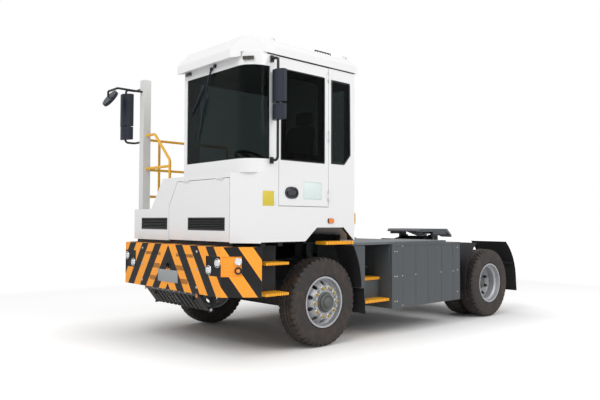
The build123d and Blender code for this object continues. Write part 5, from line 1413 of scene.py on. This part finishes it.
@dataclass
class CabTrim:
    """Blank labels, door handle, side lamps, wipers, the roof's aerial bracket and a dark strip under the roof's edge
    as painted shade.
    """

    layout: Layout
    handle_centre: Flat = (-1.978, 1.741)
    glass: float = -2.5395
    # pivot, knee and tip of each wiper in X and Z
    wiper_rows: tuple[tuple[Flat, Flat, Flat], ...] = (
        ((0.680, 3.129), (0.330, 2.779), (0.189, 2.638)), ((0.612, 3.109), (0.430, 2.592), (0.342, 2.337)),
    )
    bracket: tuple[Flat, Flat] = ((-1.475, 3.366), (-1.212, 3.429))

    def patch(self, form: Form, low: Flat, high: Flat, height: float, bevel: float) -> None:
        """Sticks a thin patch on the left side, from two points given as in an outline.

        Args:
            form: The piece that it belongs to.
            low: The lowest corner's distance behind the front axle and height.
            high: The highest corner's.
            height: How far it stands off the side.
            bevel: The radius of its edges.
        """
        side = self.layout.side
        y = self.layout.y
        form.block((side - 0.0004, y(low[0]), low[1]), (side + height, y(high[0]), high[1]), bevel)

    def labels(self) -> None:
        """Adds the blank yellow label, the pale strip beside it and the blank sticker on the door."""
        side = self.layout.side
        form = Form("side_label", "label_yellow", "label_pale")
        self.patch(form, (-0.996, 1.594), (-0.842, 1.751), 0.0010, 0.0004)
        self.patch(form.use("label_pale"), (-0.836, 1.600), (-0.812, 1.735), 0.0008, 0.0003)
        form.place("chassis", "body_white")
        sticker = Form("door_sticker", "label_pale", "label_green")
        self.patch(sticker, (-0.422, 1.675), (-0.146, 1.870), 0.0007, 0.0003)
        border = self.layout.window((-0.418, 1.679), (-0.150, 1.866))
        sticker.use("label_green").frame(border, 0.0028, Axis.X, side, side + 0.0010, 0.0)
        sticker.place("cab_door", "body_white")

    def handle(self) -> None:
        """Fills the door handle's oval recess with its dark dish and its rim."""
        form = Form("handle_dish", "mirror_gloss")
        form.prism(ellipse(self.handle_centre, (0.082, 0.050)), Axis.X, 1.2995, 1.3030, 0.0008)
        form.prism(ellipse(self.handle_centre, (0.096, 0.066)), Axis.X, 1.2995, 1.3022, 0.001)
        form.place("cab_door", "dash_plastic")

    def side_lamps(self) -> None:
        """Adds the rounded amber lens of each side lamp on its dark base."""
        form = Form("side_lamps", "guard_black", "lens_amber")
        base = rounded(self.layout.window((-0.047, 1.412), (0.045, 1.468)), 0.016)
        lens = rounded(self.layout.window((-0.036, 1.4145), (0.043, 1.4655)), 0.014)
        for side in (-1, 1):
            form.use("guard_black").prism(base, Axis.X, *span(side, 1.2995, 1.3045), 0.001)
            form.use("lens_amber").prism(lens, Axis.X, *span(side, 1.3040, 1.3185), 0.004)
        form.place("chassis", "lamp_clear")

    def wipers(self) -> None:
        """Hangs two wipers from the top of the screen."""
        form = Form("wipers", "mirror_black")
        glass = self.glass
        cap = ((0.0, 0.0), (0.0, 0.020), (0.020, 0.018), (0.026, 0.011), (0.028, 0.0))
        for pivot, knee, end in self.wiper_rows:
            form.lathe(cap, (pivot[0], -2.547, pivot[1]), (0, -1, 0), 20)
            bend = (pivot[0] * 0.8 + end[0] * 0.2, -2.572, pivot[1] * 0.8 + end[1] * 0.2)
            form.tube(((pivot[0], -2.566, pivot[1]), bend, (knee[0], glass - 0.022, knee[1])), 0.0055, 8)
            low = Vector(knee) - (Vector(end) - Vector(pivot)).normalized() * 0.22
            high = Vector(end)
            blade = ((low.x, glass - 0.012, low.y), (knee[0], glass - 0.014, knee[1]), (high.x, glass - 0.012, high.y))
            form.tube(blade, 0.007, 6)
            form.tube(((low.x, glass - 0.004, low.y), (high.x, glass - 0.004, high.y)), 0.0035, 4)
        form.place("chassis", "guard_black")

    def roof(self) -> None:
        """Adds the perforated aerial bracket and a dark strip under the roof's edge, painted shade of the roof's
        overhang.
        """
        side = self.layout.side
        form = Form("roof_bracket", "frame_black")
        (front, _), (back, _) = self.bracket
        form.frame(rounded(rectangle(*self.bracket), 0.010), 0.013, Axis.X, 1.125, 1.131, 0.001)
        for step in range(1, 6):
            y = front + 0.263 * step / 6
            form.block((1.1255, y - 0.006, 3.372), (1.1305, y + 0.006, 3.420), 0.001)
        form.block((1.105, front, 3.3715), (1.165, back, 3.3755), 0.001)
        form.place("chassis", "frame_black")
        # dark strip under the roof's overhang: painted shade
        edge_shade = Form("roof_edge_shade_strip", "seal_rubber")
        edge_shade.block((side - 0.001, -2.330, 3.1885), (side + 0.0045, -0.990, 3.1995), 0.0015)
        edge_shade.place("chassis", "guard_black")

    def build(self) -> None:
        """Builds all of the cab's trim."""
        for part in (self.labels, self.handle, self.side_lamps, self.wipers, self.roof):
            part()


@dataclass
class MirrorPanes:
    """The silvered panes on the flat side of each mirror head."""

    heads: tuple[tuple[float, float, float, float, float, float], ...] = (
        # x, y, lowest z, highest z, half width, yaw in degrees
        (-1.396, -2.557, 2.712, 3.118, 0.086, 20.0),
        (-1.396, -2.557, 2.533, 2.678, 0.081, 20.0),
        (1.408, -2.256, 2.682, 2.998, 0.078, 0.0),
        (1.408, -2.256, 2.502, 2.638, 0.074, 0.0),
    )

    def build(self) -> None:
        """Builds the panes."""
        form = Form("mirror_panes", "mirror_silver")
        for x, y, low, high, half, yaw in self.heads:
            turn = math.radians(yaw)
            across = Vector((math.cos(turn), math.sin(turn)))
            back = Vector((-math.sin(turn), math.cos(turn)))
            base = Vector((x, y)) + back * 0.0302
            start, end = base - across * half, base + across * half
            corners = (start, end, end + back * 0.002, start + back * 0.002)
            form.prism([tuple(corner) for corner in corners], Axis.Z, low, high, 0.0008)
        form.place("chassis", "lamp_clear")


@dataclass
class BoxTrim:
    """Bolt heads on the battery boxes' outer panels."""

    layout: Layout
    face: float = 1.290
    columns: tuple[tuple[float, tuple[float, ...]], ...] = (
        # distance behind the front axle, heights
        (1.168, (1.055, 0.741, 0.427)), (1.212, (1.055, 0.741, 0.427)), (1.322, (1.118, 0.742, 0.365)),
        (1.594, (0.745,)), (2.167, (0.745,)), (2.454, (0.745,)), (2.562, (1.071, 0.756, 0.450)),
    )

    def build(self) -> None:
        """Builds the bolts of both boxes."""
        form = Form("box_bolts", "zinc")
        for side in (-1, 1):
            for behind, heights in self.columns:
                for z in heights:
                    form.bolt((side * self.face, self.layout.y(behind), z), (float(side), 0.0, 0.0), 0.0065, 0.006)
        form.place("chassis", "box_grey")


@dataclass
class Studio:
    """The floor, the lamps, the world and the camera."""

    layout: Layout
    focal_pixels: float = 614.6
    image_width: int = 600
    sensor: float = 36.0
    yaw: float = 47.611
    pitch: float = 1.996
    roll: float = 0.209
    eye: Point = (6.2427, -4.9847, 1.4331)
    fill: float = 0.50
    # glow under, near and far from the vehicle; the low glow under and near it is painted shade
    glow_under: float = 0.0
    glow_near: float = 0.34
    glow_far: float = 0.62
    # half width and half length of the ground where the floor's glow is held low: painted shade under the vehicle
    footprint: Flat = (0.95, 2.40)
    floor_reach: float = 60.0

    def glow(self, sheet: NodeSheet) -> Socket:
        """Gives the floor's glow for the camera, which grows with the distance from the vehicle's footprint, so the
        floor is painted darker under and near the vehicle as painted shade.

        Args:
            sheet: The floor's sheet.

        Returns:
            The glow's strength.
        """
        ray = sheet.add("ShaderNodeLightPath").outputs["Is Camera Ray"]
        parts = sheet.add("ShaderNodeSeparateXYZ", {0: sheet.object_point()}).outputs
        beside, beyond = (
            sheet.calc("MAXIMUM", sheet.calc("SUBTRACT", sheet.calc("ABSOLUTE", parts[axis]), half), 0.0)
            for axis, half in enumerate(self.footprint)
        )
        away = sheet.calc("SQRT", sheet.calc("ADD", sheet.calc("POWER", beside, 2.0), sheet.calc("POWER", beyond, 2.0)))
        # the glow held low near the vehicle paints shade on the floor round it
        near = sheet.remap(away, 0.0, 1.5, self.glow_under, self.glow_near)
        far = sheet.remap(away, 2.0, 8.0, 0.0, self.glow_far)
        return sheet.calc("MULTIPLY", ray, sheet.calc("MAXIMUM", near, far))

    def floor(self) -> None:
        """Lays a wide pale floor that keeps the object's shadow, with painted shade under and near the vehicle where
        its glow is held low.
        """
        data = bpy.data.meshes.new("studio_floor")
        reach = self.floor_reach
        corners = [(x, y, 0) for x, y in rectangle((-reach, -reach), (reach, reach))]
        data.from_pydata(corners, [], [(0, 1, 2, 3)])
        floor = bpy.data.objects.new("studio_floor", data)
        bpy.context.scene.collection.objects.link(floor)
        material, sheet, shader = principled(
            "floor_pale", Roughness=0.9, Specular_IOR_Level=0.0, Emission_Color=rgba((1.0, 1.0, 1.0))
        )
        cloud = sheet.noise(sheet.object_point(), 0.5, 2.0)
        colour = sheet.blend(cloud, rgba((0.90, 0.90, 0.90)), rgba((0.93, 0.93, 0.93)))
        sheet.feed(shader, Base_Color=colour, Emission_Strength=self.glow(sheet))
        data.materials.append(material)

    def world(self) -> None:
        """Lights everything evenly and shows white behind it."""
        world = bpy.data.worlds.new("studio_world")
        world.use_nodes = True
        bpy.context.scene.world = world
        sheet = NodeSheet(world.node_tree)
        background = world.node_tree.nodes["Background"]
        background.inputs["Color"].default_value = rgba((1.0, 1.0, 1.0))
        path = sheet.add("ShaderNodeLightPath").outputs
        mirrored = sheet.calc("MAXIMUM", path["Is Glossy Ray"], path["Is Transmission Ray"])
        seen = sheet.calc("MAXIMUM", path["Is Camera Ray"], mirrored)
        sheet.tree.links.new(sheet.remap(seen, 0.0, 1.0, self.fill, 1.0), background.inputs["Strength"])

    def lamp(self, name: str, place: Point, target: Point, size: float, power: float) -> None:
        """Hangs one square lamp that faces a target.

        Args:
            name: The lamp's name.
            place: Where it hangs.
            target: The point that it faces.
            size: The length of its side.
            power: Its power in watts.
        """
        data = bpy.data.lights.new(name, "AREA")
        data.size = size
        data.energy = power
        lamp = bpy.data.objects.new(name, data)
        lamp.location = place
        lamp.rotation_euler = (Vector(target) - Vector(place)).to_track_quat("-Z", "Y").to_euler()
        bpy.context.scene.collection.objects.link(lamp)

    def camera(self) -> None:
        """Sets the camera at the photograph's point of view."""
        yaw, pitch, roll = (math.radians(angle) for angle in (self.yaw, self.pitch, self.roll))
        ahead = Vector((-math.sin(yaw) * math.cos(pitch), math.cos(yaw) * math.cos(pitch), math.sin(pitch)))
        right = ahead.cross(Vector((0, 0, 1))).normalized()
        up = right.cross(ahead)
        turned_right = math.cos(roll) * right + math.sin(roll) * up
        turned_up = turned_right.cross(ahead)
        data = bpy.data.cameras.new("view")
        data.sensor_width = self.sensor
        data.sensor_fit = "HORIZONTAL"
        data.lens = self.focal_pixels / self.image_width * self.sensor
        data.clip_end = 300.0
        camera = bpy.data.objects.new("view", data)
        rotation = Matrix((turned_right, turned_up, -ahead)).transposed().to_4x4()
        place = Vector((self.eye[0], self.layout.y(self.eye[1]), self.eye[2]))
        camera.matrix_world = Matrix.Translation(place) @ rotation
        bpy.context.scene.collection.objects.link(camera)
        bpy.context.scene.camera = camera

    def build(self) -> None:
        """Sets up the whole studio."""
        self.floor()
        self.world()
        self.lamp("key_lamp", (3.0, -9.0, 9.0), (0.0, 0.0, 1.4), 7.0, 560.0)
        self.lamp("side_lamp", (10.0, 1.5, 7.0), (0.0, 0.5, 1.4), 7.0, 480.0)
        self.camera()
        bpy.context.scene.view_settings.view_transform = "Standard"


def main() -> None:
    """Builds and dresses every sub-assembly in order."""
    logging.basicConfig(level=logging.INFO, format="%(message)s")
    layout = Layout.read()
    FrameDress().dress()
    # end of the vehicle, its axle, each wheel's distance from the middle, the nuts' face and the hub cover's end
    for end, y, reaches, face, hub_end in (
        ("front", layout.front_axle, (1.087,), 1.213, 1.264),
        ("rear", layout.rear_axle, (0.800, 1.130), 0.979, 1.105),
    ):
        for name, side in (("left", 1), ("right", -1)):
            corner = f"{end}_{name}"
            axle = (y, layout.tyre_radius)
            Tyre(corner, tuple((side * reach, *axle) for reach in reaches)).build()
            WheelHardware(corner, side, axle, face, hub_end).build()
    DriverSeat().build()
    CabSeals(layout).build()
    BumperTrim().build()
    CabTrim(layout).build()
    MirrorPanes().build()
    BoxTrim(layout).build()
    Studio(layout).build()


if __name__ == "__main__":
    main()
